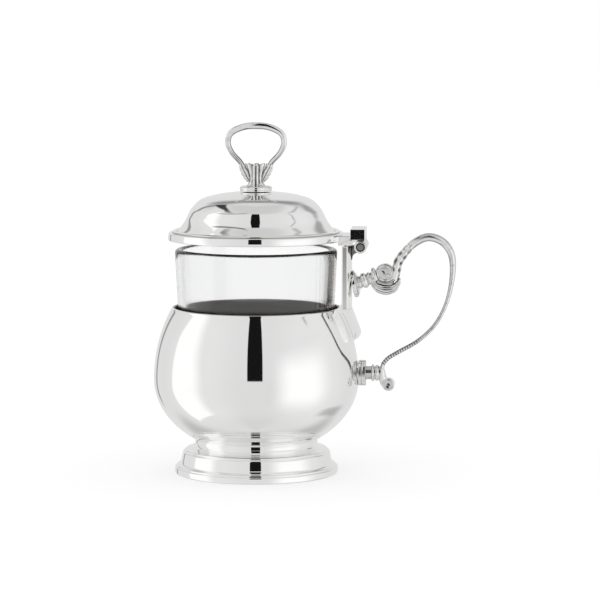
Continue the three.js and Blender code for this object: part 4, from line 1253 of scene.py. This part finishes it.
@dataclass
class HingePost(Assembly):
    """The strap behind the glass, with its saddle on the bowl, its knuckle and the pin."""

    body: PotBody
    inner: float = 28.698
    outer: float = 30.498
    saddle_bottom: float = 42.9738
    saddle_top: float = 52.9738
    saddle_thickness: float = 2.9
    toe_round: float = 1.3
    top: float = 72.994
    middle_length: float = 5.6
    pin_radius: float = 1.2
    pin_length: float = 15.0
    gusset_foot: float = 68.294

    def build(self) -> None:
        """Builds the four pieces."""
        self._post()
        self._saddle()
        self._knuckle()
        self._pin()

    def _post(self) -> None:
        """Builds the curved strap, with a shallow flute along each of its edges that takes painted shade, and
        painted shade on its face towards the bowl.
        """
        inner, outer, low, top = self.inner, self.outer, self.saddle_top, self.top
        outline = Outline((inner, low), (outer, low), (outer, top), (inner, top))
        form = Form()
        form.bevelled(form.sector(outline, HINGE.length), 0.16)
        # The sunk panels take painted shade, darkest at the top under the hinge.
        form.sink_ends(0.2, 0.25, (0.45, 1.0))
        middle = (inner + outer) / 2
        # The face towards the bowl takes the darkened copy of the silver: painted shade.
        form.line_faces(lambda face: face.normal.x < -0.7 and from_axis(face) < middle)
        self.plate("hinge_post", form, self.shop.post_back, smoother=SQUARE_ANGLE)

    def _saddle(self) -> None:
        """Builds the plate that lies on the bowl's shoulder, with dark lines along its ends that are painted
        reflections.
        """
        heights = [mix(self.saddle_bottom, self.body.bowl_mouth, step / 16) for step in range(17)]
        inner = [(self.body.radius_at(height) - 0.2, height) for height in heights]
        toe, top = self.saddle_bottom + self.toe_round, (self.outer, self.saddle_top)
        reach = self.body.radius_at(toe) + self.saddle_thickness
        bend = Outline(top, (reach, toe + self.toe_round), (reach, toe))
        bend.to((reach - self.toe_round, self.saddle_bottom), inner[0])
        outer = bend.rounded(0.9, 6).points[1:-1]
        outline = Outline(*inner, (inner[-1][0], self.saddle_top), top, *outer)
        form = Form()
        form.bevelled(form.sector(outline, HINGE.length), 0.2)
        # Thin slivers that show just past each end, darkened as painted reflection streaks.
        flank = inner[2:-1]
        lines = [([(radius + inset, height) for radius, height in flank], 0.45) for inset in (0.9, 1.9)]
        lines.append(([(radius - 0.55, height) for radius, height in outer if height > toe - 0.3], 0.75))
        for line, shade in lines:
            line += [(radius + 0.16, height) for radius, height in reversed(line)]
            form.sector(Outline(*line), HINGE.length + 0.04, shade)
        self.plate("post_saddle", form, smoother=SQUARE_ANGLE)

    def _knuckle(self) -> None:
        """Builds the middle knuckle with its curved gusset."""
        form = Form()
        HINGE.knuckle(form, self.middle_length)
        low, bored = HINGE.z - HINGE.radius, HINGE.x - HINGE.bore
        places = ((self.outer, self.gusset_foot), (self.outer, low), (HINGE.x, low))
        foot, bend, tip = (Vector(place) for place in places)
        corners = [(self.outer, HINGE.z), tuple(foot)]
        for share in (step / 12 for step in range(1, 13)):
            corners.append(tuple(foot.lerp(bend, share).lerp(bend.lerp(tip, share), share)))
        corners += [(bored, HINGE.z - HINGE.bore), (bored - 0.1, HINGE.z)]
        # The gusset takes painted shade all over, as it lies in shade under the lid's leaf and block.
        form.bevelled(form.prism(corners, self.middle_length, shade=0.85), 0.12)
        self.cast("post_knuckle", form)

    def _pin(self) -> None:
        """Builds the pin with its slightly domed ends."""
        half, edge = self.pin_length / 2, 0.25
        inner = self.pin_radius - edge
        outline = Outline((0.0, -half), (inner, -half + 0.06)).arc((inner, -half + 0.31), edge, -80, 0, 5)
        outline.arc((inner, half - 0.31), edge, 0, 80, 5).to((inner, half - 0.06), (0.0, half))
        form = lathed(outline, 48, on_y(HINGE.x, HINGE.z))
        self.shop.piece(form, "hinge_pin", self.rides, Slot.STEEL, [self.shop.steel], SMOOTH_ANGLE)


@dataclass
class Handle(Assembly):
    """The ear-shaped handle with its upper and lower fixings.

    Attributes:
        arm_upper: Places on the arm's upper part from the volute's eye, as shares of the arm's reach.
        arm_lower: Places on its lower part from its lower end, in the same shares.
        crescent_line: Places on the crescent from the eye.
        spiral_line: The spiral's turns in degrees and its distances from the eye.
    """

    arm_upper: ClassVar[tuple[Point, ...]] = (
        (0.18, 0.127), (0.21, 0.196), (0.313, 0.332), (0.449, 0.458),
        (0.636, 0.533), (0.836, 0.472), (0.967, 0.304), (1.0, 0.065),
    )
    arm_lower: ClassVar[tuple[Point, ...]] = (
        (0.967, 1.103), (0.79, 0.738), (0.542, 0.491), (0.215, 0.299),
        (0.084, 0.215), (0.014, 0.131), (0.0, 0.065),
    )
    crescent_line: ClassVar[tuple[Point, ...]] = (
        (-4.2, -1.6), (-3.8, -2.9), (-2.6, -4.4), (-0.2, -5.3), (2.2, -5.0), (3.8, -3.6), (4.75, -1.6),
    )
    spiral_line: ClassVar[tuple[Point, ...]] = (
        (30, 3.95), (-20, 3.35), (-65, 2.75), (-110, 2.6), (-155, 2.6), (-200, 2.45), (-245, 2.3),
        (-290, 2.15), (-335, 2.0), (-380, 1.75), (-425, 1.55),
    )
    rosette_x: float = 31.7128
    rosette_z: float = 60.6339
    rosette_tilt: float = 12.0
    rosette_radius: float = 4.4
    rosette_dome: float = 1.2
    upper_x: float = 33.2128
    upper_z: float = 61.1339
    upper_tilt: float = 20.0
    upper_length: float = 3.6
    upper_radius: float = 1.8
    eye_x: float = 40.9957
    eye_z: float = 64.0652
    arm_reach: float = 21.36
    arm_end_x: float = 40.105
    lower_z: float = 32.1238
    lower_start: float = 32.855
    washer: float = 0.7
    lower_flange: float = 1.2
    disc_radius: float = 4.1
    lower_stem_x: float = 34.755
    lower_stem_length: float = 4.4
    lower_stem_radius: float = 2.1
    tail_reach: float = 2.0
    tail_drop: float = 3.6
    tail_radius: float = 2.0
    tail_depth: float = 4.0

    def build(self) -> None:
        """Builds the handle's eight pieces."""
        self._rosette()
        upper = [(-0.85, 0.12, 2.1), (0.3, 2.2, 2.5), (2.5, 3.5, 2.15)]
        place = on_x(self.upper_x, self.upper_z, self.upper_tilt)
        self._stem("upper_stem", self.upper_length, self.upper_radius, upper, place)
        self._scroll()
        self._arm()
        self._disc("lower_washer", self.washer + 0.25, self.lower_start - 0.25, 0.3)
        self._disc("lower_flange", self.lower_flange + 0.1, self.lower_start + self.washer + 0.05, 0.05)
        lower = [(1.9, 2.85, 2.75), (3.1, 4.35, 2.55)]
        place = on_x(self.lower_stem_x, self.lower_z)
        self._stem("lower_stem", self.lower_stem_length, self.lower_stem_radius, lower, place)
        self._tail()

    def _rosette(self) -> None:
        """Builds the domed boss on the post."""
        radius = self.rosette_radius
        outline = Outline((0.0, -1.15), (radius - 0.2, -1.15), (radius, -0.95), (radius, -0.2))
        outline.arc((radius - 0.25, -0.2), (0.25, 0.3), 0, 80, 5).to((radius - 0.42, -0.02))
        outline.arc((0.0, 0.0), (radius - 0.55, self.rosette_dome), 8, 88, 20).to((0.0, self.rosette_dome))
        place = on_x(self.rosette_x, self.rosette_z, self.rosette_tilt)
        # Painted shade in a ring where the dome meets the rim.
        form = lathed(outline, 96, place, lambda co: 0.8 * bump(co.to_2d().length, radius - 0.45, 0.22))
        self.cast("upper_rosette", form)

    def _stem(
        self, node: str, length: float, radius: float, rings: Sequence[Triple], place: Matrix
    ) -> None:
        """Builds a turned stem with raised rounded rings.

        Args:
            node: The node's name.
            length: Its length.
            radius: Its radius between the rings.
            rings: Where each ring starts and ends, and its radius.
            place: Where the stem goes.
        """
        outline = Outline((0.0, -1.0), (radius, -1.0))
        for start, end, ring in rings:
            outline.to((radius, start - 0.02))
            outline.arc((radius, (start + end) / 2), (ring - radius, (end - start) / 2), -90, 90, 10)
        outline.to((radius, length + 0.5), (0.0, length + 0.5))
        # Painted shade on the stem's shaft and at the foot of each ring.
        self.cast(node, lathed(outline, 64, place, lambda co: 0.25 * bump(co.to_2d().length, radius, 0.25)))

    def _scroll(self) -> None:
        """Builds the volute: a ridged spiral round an eye marked with a painted shadow, over a crescent that
        ends in a point.
        """
        x, z, form = self.eye_x, self.eye_z, Form()
        self._crescent(form)
        self._spiral(form)
        eye = Outline((0.0, -1.7), (2.9, -1.7), (2.9, 1.7), (0.0, 1.7)).rounded(0.2)
        # The eye takes a little painted shade.
        form.turned(eye, 48, on_y(x, z), 0.2)
        # A thin bar painted fully dark across the eye: a painted comma of shadow.
        shadow_route = Route(around(x, z, ((-1.25, 0.75), (-0.55, 0.45), (-0.15, -0.35))))
        shadow_bar = BarShape(sized([0.35, 0.95, 0.5], [4.2, 4.2]), round_section, 20, 20, 0.1, 0.1)
        form.swept(shadow_route, shadow_bar, shade=1.0)
        bead = Outline((0.0, -0.5)).arc((0.0, 0.0), (0.7, 0.5), -80, 80, 12).to((0.0, 0.5))
        for side in (-1, 1):
            form.turned(bead, 28, Matrix.Translation((x + 0.8, side * 2.0, z - 0.65)))
        knob = Outline((0.0, -0.65), (2.0, -0.65)).arc((2.0, 0.0), (0.5, 0.65), -80, 80, 10).to((0.0, 0.65))
        form.turned(knob, 56, on_x(x - 3.3, z - 0.75, self.upper_tilt))
        web = Outline((0.0, -1.3), (2.6, -1.3), (3.0, -0.8), (3.0, 0.8), (2.6, 1.3), (0.0, 1.3)).rounded(0.4)
        # The web deep between the spiral and the crescent takes painted shade.
        form.turned(web, 64, on_y(x - 0.2, z - 2.6), 0.35)
        self.cast("handle_scroll", form)

    def _crescent(self, form: Form) -> None:
        """Adds the crescent under the spiral."""
        size_at = sized([1.6, 2.4, 3.3, 3.5, 3.0, 1.9, 0.5], [4.2, 4.8, 4.8, 4.4, 2.2])

        def section(angle: float, share: float) -> Surface:
            """Returns the crescent's surface, with grooves along each side darkened by patina and painted
            shade.
            """
            across, flat = squared(angle, 0.65)
            groove = bump(across, -0.82, 0.12) + 0.5 * bump(across, -0.2, 0.09)
            groove += 0.5 * bump(across, 0.38, 0.09)
            groove *= eased(share, 0.02, 0.12) * (1 - eased(share, 0.85, 1.0))
            return across, flat * (1 - 0.14 * groove), 0.95 * groove

        route = Route(around(self.eye_x, self.eye_z, self.crescent_line))
        form.swept(route, BarShape(size_at, section, 120, 64, 0.5, 0.4))

    def _spiral(self, form: Form) -> None:
        """Adds the spiral that winds from the arm's root into the eye."""
        size_at = sized([1.9, 1.8, 1.6, 1.35, 1.0, 0.7], [4.4, 4.8, 4.9, 4.8, 4.5])

        def section(angle: float, share: float) -> Surface:
            """Returns the spiral's surface, with a groove along its first turn, and painted shade in the
            groove and along both edges.
            """
            across, flat = squared(angle, 0.7)
            groove = bump(across, -0.15, 0.14) * (1 - eased(share, 0.5, 0.75)) * eased(share, 0.0, 0.08)
            return across, flat * (1 - 0.13 * groove), 0.7 * groove + 0.9 * eased(abs(across), 0.82, 0.98)

        turns = [(math.radians(turn), reach) for turn, reach in self.spiral_line]
        stops = [(reach * math.cos(turn), reach * math.sin(turn)) for turn, reach in turns]
        route = Route(around(self.eye_x, self.eye_z, stops))
        form.swept(route, BarShape(size_at, section, 200, 48, 0.3, 0.3))

    def _arm(self) -> None:
        """Builds the arched arm, fluted along its sides, with a leaf wrapped round its root."""
        stops = around(self.eye_x, self.eye_z, ((2.9, -1.9), (3.4, -0.4), (3.6, 1.2)))
        stops += around(self.eye_x, self.eye_z, self.arm_upper, self.arm_reach)
        stops += around(self.arm_end_x, self.lower_z, self.arm_lower, self.arm_reach)
        route = Route(stops)

        def size_at(share: float) -> Point:
            """Returns the arm's thickness and depth, which taper down to the lower end."""
            taper = eased(share, 0.26, 0.63)
            return mix(2.6, 1.3, taper), mix(4.6, 3.0, taper)

        def section(angle: float, share: float) -> Surface:
            """Returns the arm's surface: a flute along each side and a twisted cord near the lower end, with
            patina and painted shade in them and painted dark reflections on its edges and in a streak.
            """
            across, flat = squared(angle, 0.8)
            flute = bump(across, 0.12, 0.2) * eased(share, 0.3, 0.45) * (1 - eased(share, 0.74, 0.84))
            cord = eased(share, 0.74, 0.84) * (1 - eased(share, 0.975, 0.99))
            twist = cord * math.sin(math.tau * share * route.length / 0.85 + angle)
            # Painted dark reflections along both edges and, on the next line, in a streak on the upper part.
            edge = 0.7 * eased(across, 0.45, 0.95) + 0.4 * eased(-across, 0.7, 0.98)
            reflection_streak = 0.9 * bump(across, -0.3, 0.24) * bump(share, 0.235, 0.035)
            recess = 0.6 * flute + max(-twist, 0.0) + 0.12 * cord + edge + reflection_streak
            return across * (1 + 0.07 * twist), flat * (1 - 0.13 * flute + 0.07 * twist), recess

        form = Form()
        form.swept(route, BarShape(size_at, section, 640, 40))

        def leaf_size(share: float) -> Point:
            """Returns the leaf's thickness and depth, which dwindle to its tip."""
            thickness, depth = size_at(0.0)
            wider = stepped([0.85, 1.1, 1.12, 1.0, 0.8], share)
            return thickness * wider, depth * stepped([0.9, 1.1, 1.1, 1.05, 0.9], share)

        def leaf_section(angle: float, share: float) -> Surface:
            """Returns the leaf's surface, with a row of lobes along each edge, darkened by painted shade."""
            across, flat = squared(angle, 0.7)
            lobe = 0.5 + 0.5 * math.sin(math.tau * 6 * share)
            cut = (bump(across, 0.62, 0.24) + bump(across, -0.62, 0.24)) * lobe
            fade = eased(share, 0.05, 0.2) * (1 - eased(share, 0.93, 1.0))
            across *= 1 + 0.07 * lobe * abs(across) * fade
            return across, flat * (1 - 0.14 * cut * fade), cut * fade

        root = Route([tuple(route.at(0.2 * step / 20).xz) for step in range(21)])
        form.swept(root, BarShape(leaf_size, leaf_section, 90, 64, round_end=1.0))
        self.cast("handle_arm", form)

    def _disc(self, node: str, thickness: float, start: float, seat: float) -> None:
        """Builds a disc of the lower fixing with a rounded rim.

        Args:
            node: The node's name.
            thickness: Its thickness.
            start: Where it starts along x.
            seat: How far its smaller seat reaches back from there.
        """
        edge = 0.16
        rim = self.disc_radius - edge
        outline = Outline((0.0, -seat), (rim - 0.6, -seat), (rim - 0.6, 0.0))
        outline.arc((rim, edge), edge, -90, 0, 5)
        outline.arc((rim, thickness - edge), edge, 0, 90, 5).to((0.0, thickness))

        def shade(co: Vector) -> float:
            """Returns painted shade in a line round each face's edge and a painted dark reflection as a spot
            on the rim.
            """
            reach = co.to_2d().length
            rim_reflection = 0.7 * bump(co.x, -0.3, 1.0) * (reach > rim + 0.9 * edge)
            return 0.8 * bump(reach, rim - 0.05, 0.1) + rim_reflection

        self.cast(node, lathed(outline, 80, on_x(start, self.lower_z), shade))

    def _tail(self) -> None:
        """Builds the small curl under the lower end, with a dimpled boss."""
        x, z, form = self.arm_end_x, self.lower_z, Form()
        boss_x, boss_z = x + self.tail_reach, z - self.tail_drop
        stops = around(x, z, ((0.0, 1.0), (0.1, -1.2), (0.8, -3.2)))
        route = Route([*stops, (boss_x, boss_z - self.tail_radius / 2)])
        form.swept(route, BarShape(sized([1.9, 2.5, 2.8, 2.4], [3.2, 3.2]), round_section, 48, 32))
        half, rim, edge, dimple = self.tail_depth / 2, self.tail_radius - 0.5, 0.5, (0.55, 0.6)
        boss = Outline((0.0, -half + 0.6)).arc((0.0, -half), dimple, 80, 15, 5)
        boss.arc((rim, -half + edge), edge, -90, 0, 6).arc((rim, half - edge), edge, 0, 90, 6)
        boss.arc((0.0, half), dimple, -15, -80, 5).to((0.0, half - 0.6))

        def shade(co: Vector) -> float:
            """Returns painted shade in the dimple, with a fainter ring of it round the dimple."""
            reach = co.to_2d().length
            return 1 - eased(reach, 0.3, 0.6) + 0.4 * bump(reach, 1.35, 0.25)

        form.turned(boss, 56, on_y(boss_x, boss_z), shade)
        self.cast("tail_scroll", form)


@dataclass
class Studio:
    """The white studio: a floor, an even tent of light with a dark opening, and the camera."""

    shop: Workshop
    azimuth: float = 3.8
    distance: float = 900.0
    height: float = 148.0
    aim_right: float = 13.9
    pitch: float = 5.893
    lens: float = 170.8
    floor_half: float = 4.0

    def build(self) -> None:
        """Builds the floor, the world and the camera."""
        self._floor()
        self._world()
        self._camera()
        bpy.context.scene.view_settings.view_transform = "Standard"

    @property
    def towards_camera(self) -> Triple:
        """The level direction from the pot to the camera."""
        turn = math.radians(self.azimuth)
        return math.sin(turn), -math.cos(turn), 0.0

    @property
    def rightwards(self) -> Triple:
        """The level direction to the right of the camera's view."""
        turn = math.radians(self.azimuth)
        return math.cos(turn), math.sin(turn), 0.0

    def _turn(self, sheet: NodeSheet, direction: Wire) -> Wire:
        """Returns a direction's angle in degrees from the camera's side, to the right."""
        right, front = sheet.dot(direction, self.rightwards), sheet.dot(direction, self.towards_camera)
        return sheet.maths("ARCTAN2", right, front) * math.degrees(1)

    def _floor(self) -> None:
        """Builds the pale floor, which keeps the pot's shadow on a white ground and, seen through the glass,
        takes a painted shadow round the pot.
        """
        form = bmesh.new()
        bmesh.ops.create_grid(form, x_segments=4, y_segments=4, size=self.floor_half)
        mesh = bpy.data.meshes.new("floor")
        form.to_mesh(mesh)
        form.free()
        floor = bpy.data.objects.new("floor", mesh)
        bpy.context.scene.collection.objects.link(floor)
        floor.visible_glossy = False
        material, sheet = new_material("pale_floor")
        path = sheet.node("ShaderNodeLightPath")
        through = Wire(sheet, path.outputs["Is Transmission Ray"])
        seen = Wire(sheet, path.outputs["Is Camera Ray"]).larger(through)
        place = sheet.place(centre=tuple(self.shop.axis))
        away = sheet.wire("ShaderNodeVectorMath", {0: place}, "Value", operation="LENGTH")
        # Painted shadow: seen through the glass, the floor's paint and glow darken round the pot and, further
        # off, a little towards the sides.
        under = through * (1.0 - self._backlight(self._turn(sheet, place)) * (1.0 - away.rise(0.16, 0.09)))
        paper = sheet.blend(sheet.noise(sheet.place(), 3.0), (0.5, 0.5, 0.5), (0.52, 0.52, 0.52))
        paint = sheet.wire("ShaderNodeBsdfDiffuse", {"Color": sheet.blend(under, paper, (0.1, 0.1, 0.1))})
        strength = (0.32 + 0.2 * seen) * (1.0 - 0.9 * under)
        glow = sheet.wire("ShaderNodeEmission", {"Color": (1, 1, 1, 1), "Strength": strength})
        both = sheet.wire("ShaderNodeAddShader", {0: paint, 1: glow})
        sheet.node("ShaderNodeOutputMaterial", {"Surface": both})
        mesh.materials.append(material)
        floor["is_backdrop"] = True
        LOG.info("floor: %.0f m across", 2 * self.floor_half)

    def _world(self) -> None:
        """Builds the light: white to the camera, and round the metal a pale tent with soft windows."""
        world = bpy.data.worlds.new("light_tent")
        world.use_nodes = True
        bpy.context.scene.world = world
        sheet = NodeSheet(world.node_tree)
        direction = sheet.wire("ShaderNodeTexCoord", output="Generated")
        turn = self._turn(sheet, direction)
        rise = sheet.maths("ARCSINE", sheet.dot(direction, (0, 0, 1))) * math.degrees(1)
        behind = self._backlight(turn) * (1.0 - 0.95 * rise.rise(7, 22))
        path = sheet.node("ShaderNodeLightPath")
        strength = 1.0
        for ray, light in (("Is Glossy Ray", self._tent(turn, rise)), ("Is Transmission Ray", behind)):
            sockets = {0: Wire(sheet, path.outputs[ray]), 2: strength, 3: light}
            strength = sheet.wire("ShaderNodeMix", sockets, data_type="FLOAT")
        background = sheet.wire("ShaderNodeBackground", {"Color": (1, 1, 1, 1), "Strength": strength})
        sheet.node("ShaderNodeOutputWorld", {"Surface": background})
        LOG.info("world: a pale tent of light")

    @staticmethod
    def _tent(turn: Wire, rise: Wire) -> Wire:
        """Returns the tent's brightness as polished metal mirrors it.

        Args:
            turn: The direction's angle in degrees from the camera's side, to the right.
            rise: Its angle above the level.

        Returns:
            The brightness.
        """
        wide, above = turn.size(), rise.larger(0.0)
        tent = 0.775 + 0.055 * wide.rise(15, 60) * wide.rise(128, 95) * rise.rise(62, 30)
        tent = tent * (1.0 - 0.06 * rise.rise(58, 72)) * (1.0 - 0.08 * rise.rise(-45, -75))
        lean = turn - 0.35 * (rise - 15.0).larger(0.0)
        left_box = lean.rise(-109.5, -106.5) * (turn + 0.25 * above).rise(-59, -78)
        left_box = left_box * rise.within(-51, 50.5, 1.5)
        right_box = turn.rise(15, 43) * turn.rise(99, 66) * rise.rise(-55, -15) * rise.rise(25, 3)
        tent = tent.towards(1.08, left_box).towards(1.08, right_box)
        stain = (rise + 74.5 - 0.33 * turn).size().rise(8, 2) * turn.within(102, 134, 10)
        beyond = (-96.0 - turn).larger(0.0)
        wedge = ((rise - 58.5 + 0.15 * beyond).size() - 2.4 - 0.11 * beyond).rise(1.5, -1.5)
        dark_parts = (
            (0.6, wide.rise(112, 150) * rise.within(38, 60, 9)),
            (0.3, wide.rise(112, 140) * rise.within(-62, -36, 8)),
            (0.36, stain),
            (0.6, (turn + 150.0 - 0.45 * above).within(-2.5, 2.5, 1.5) * rise.within(-18, 56, 4)),
            (0.93, wedge * turn.rise(-48, -98) * turn.rise(-138, -128)),
            (0.75, (rise - 0.31 * turn).within(71.5, 75.5, 1) * turn.within(-90, -28, 8)),
            (0.12, rise.rise(56, 66) * wide.rise(150, 110)),
            (0.5, turn.within(124, 142, 6) * rise.within(18, 40, 5)),
            (0.35, turn.within(75, 79, 1.5) * rise.within(34, 50, 3)),
            (0.35, turn.within(84, 124, 4) * (rise + 0.12 * turn).within(61, 64, 1.5)),
        )
        for depth, part in dark_parts:
            tent = tent * (1.0 - depth * part)
        opening = ((turn + 0.8).size() - 0.018 * rise).rise(8.9, 8.1) * rise.within(0.0, 62.5, 0.6)
        return tent.towards(0.008, opening)

    @staticmethod
    def _backlight(turn: Wire) -> Wire:
        """Returns the brightness low down through the glass: white behind it, dimmer at the sides."""
        light = 1.0 - 0.25 * turn.within(40, 150, 4)
        light = light * (1.0 - 0.45 * turn.within(150, 162, 2))
        return light * (1.0 - 0.25 * turn.within(-150, -50, 12))

    def _camera(self) -> None:
        """Sets the camera where the photograph was taken from."""
        data = bpy.data.cameras.new("photo_camera")
        data.sensor_width = 36.0
        data.lens = self.lens
        data.clip_start = 0.01
        data.clip_end = 50.0
        camera = bpy.data.objects.new("photo_camera", data)
        bpy.context.scene.collection.objects.link(camera)
        back, right = Vector(self.towards_camera), Vector(self.rightwards)
        place = back * self.distance + right * self.aim_right + Vector((0, 0, self.height))
        camera.location = self.shop.axis + place * METRES
        camera.rotation_euler = (math.radians(90 - self.pitch), 0.0, math.radians(self.azimuth))
        bpy.context.scene.camera = camera
        LOG.info("camera: %.0f mm lens, %.0f mm away", self.lens, self.distance)


def main() -> None:
    """Builds every sub-assembly in order."""
    logging.basicConfig(level=logging.INFO, format="%(name)s: %(message)s")
    cad_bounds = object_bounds()
    shop = Workshop()
    body = PotBody(shop)
    rest = (GlassLiner(shop), HingePost(shop, body), Handle(shop), Lid(shop), Finial(shop), Studio(shop))
    for assembly in (body, *rest):
        assembly.build()
        LOG.info("%s is built", type(assembly).__name__)
    sizes = {"cad": cad_bounds, "visual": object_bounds()}
    {name: [list(corner) for corner in box] for name, box in sizes.items()}


if __name__ == "__main__":
    main()
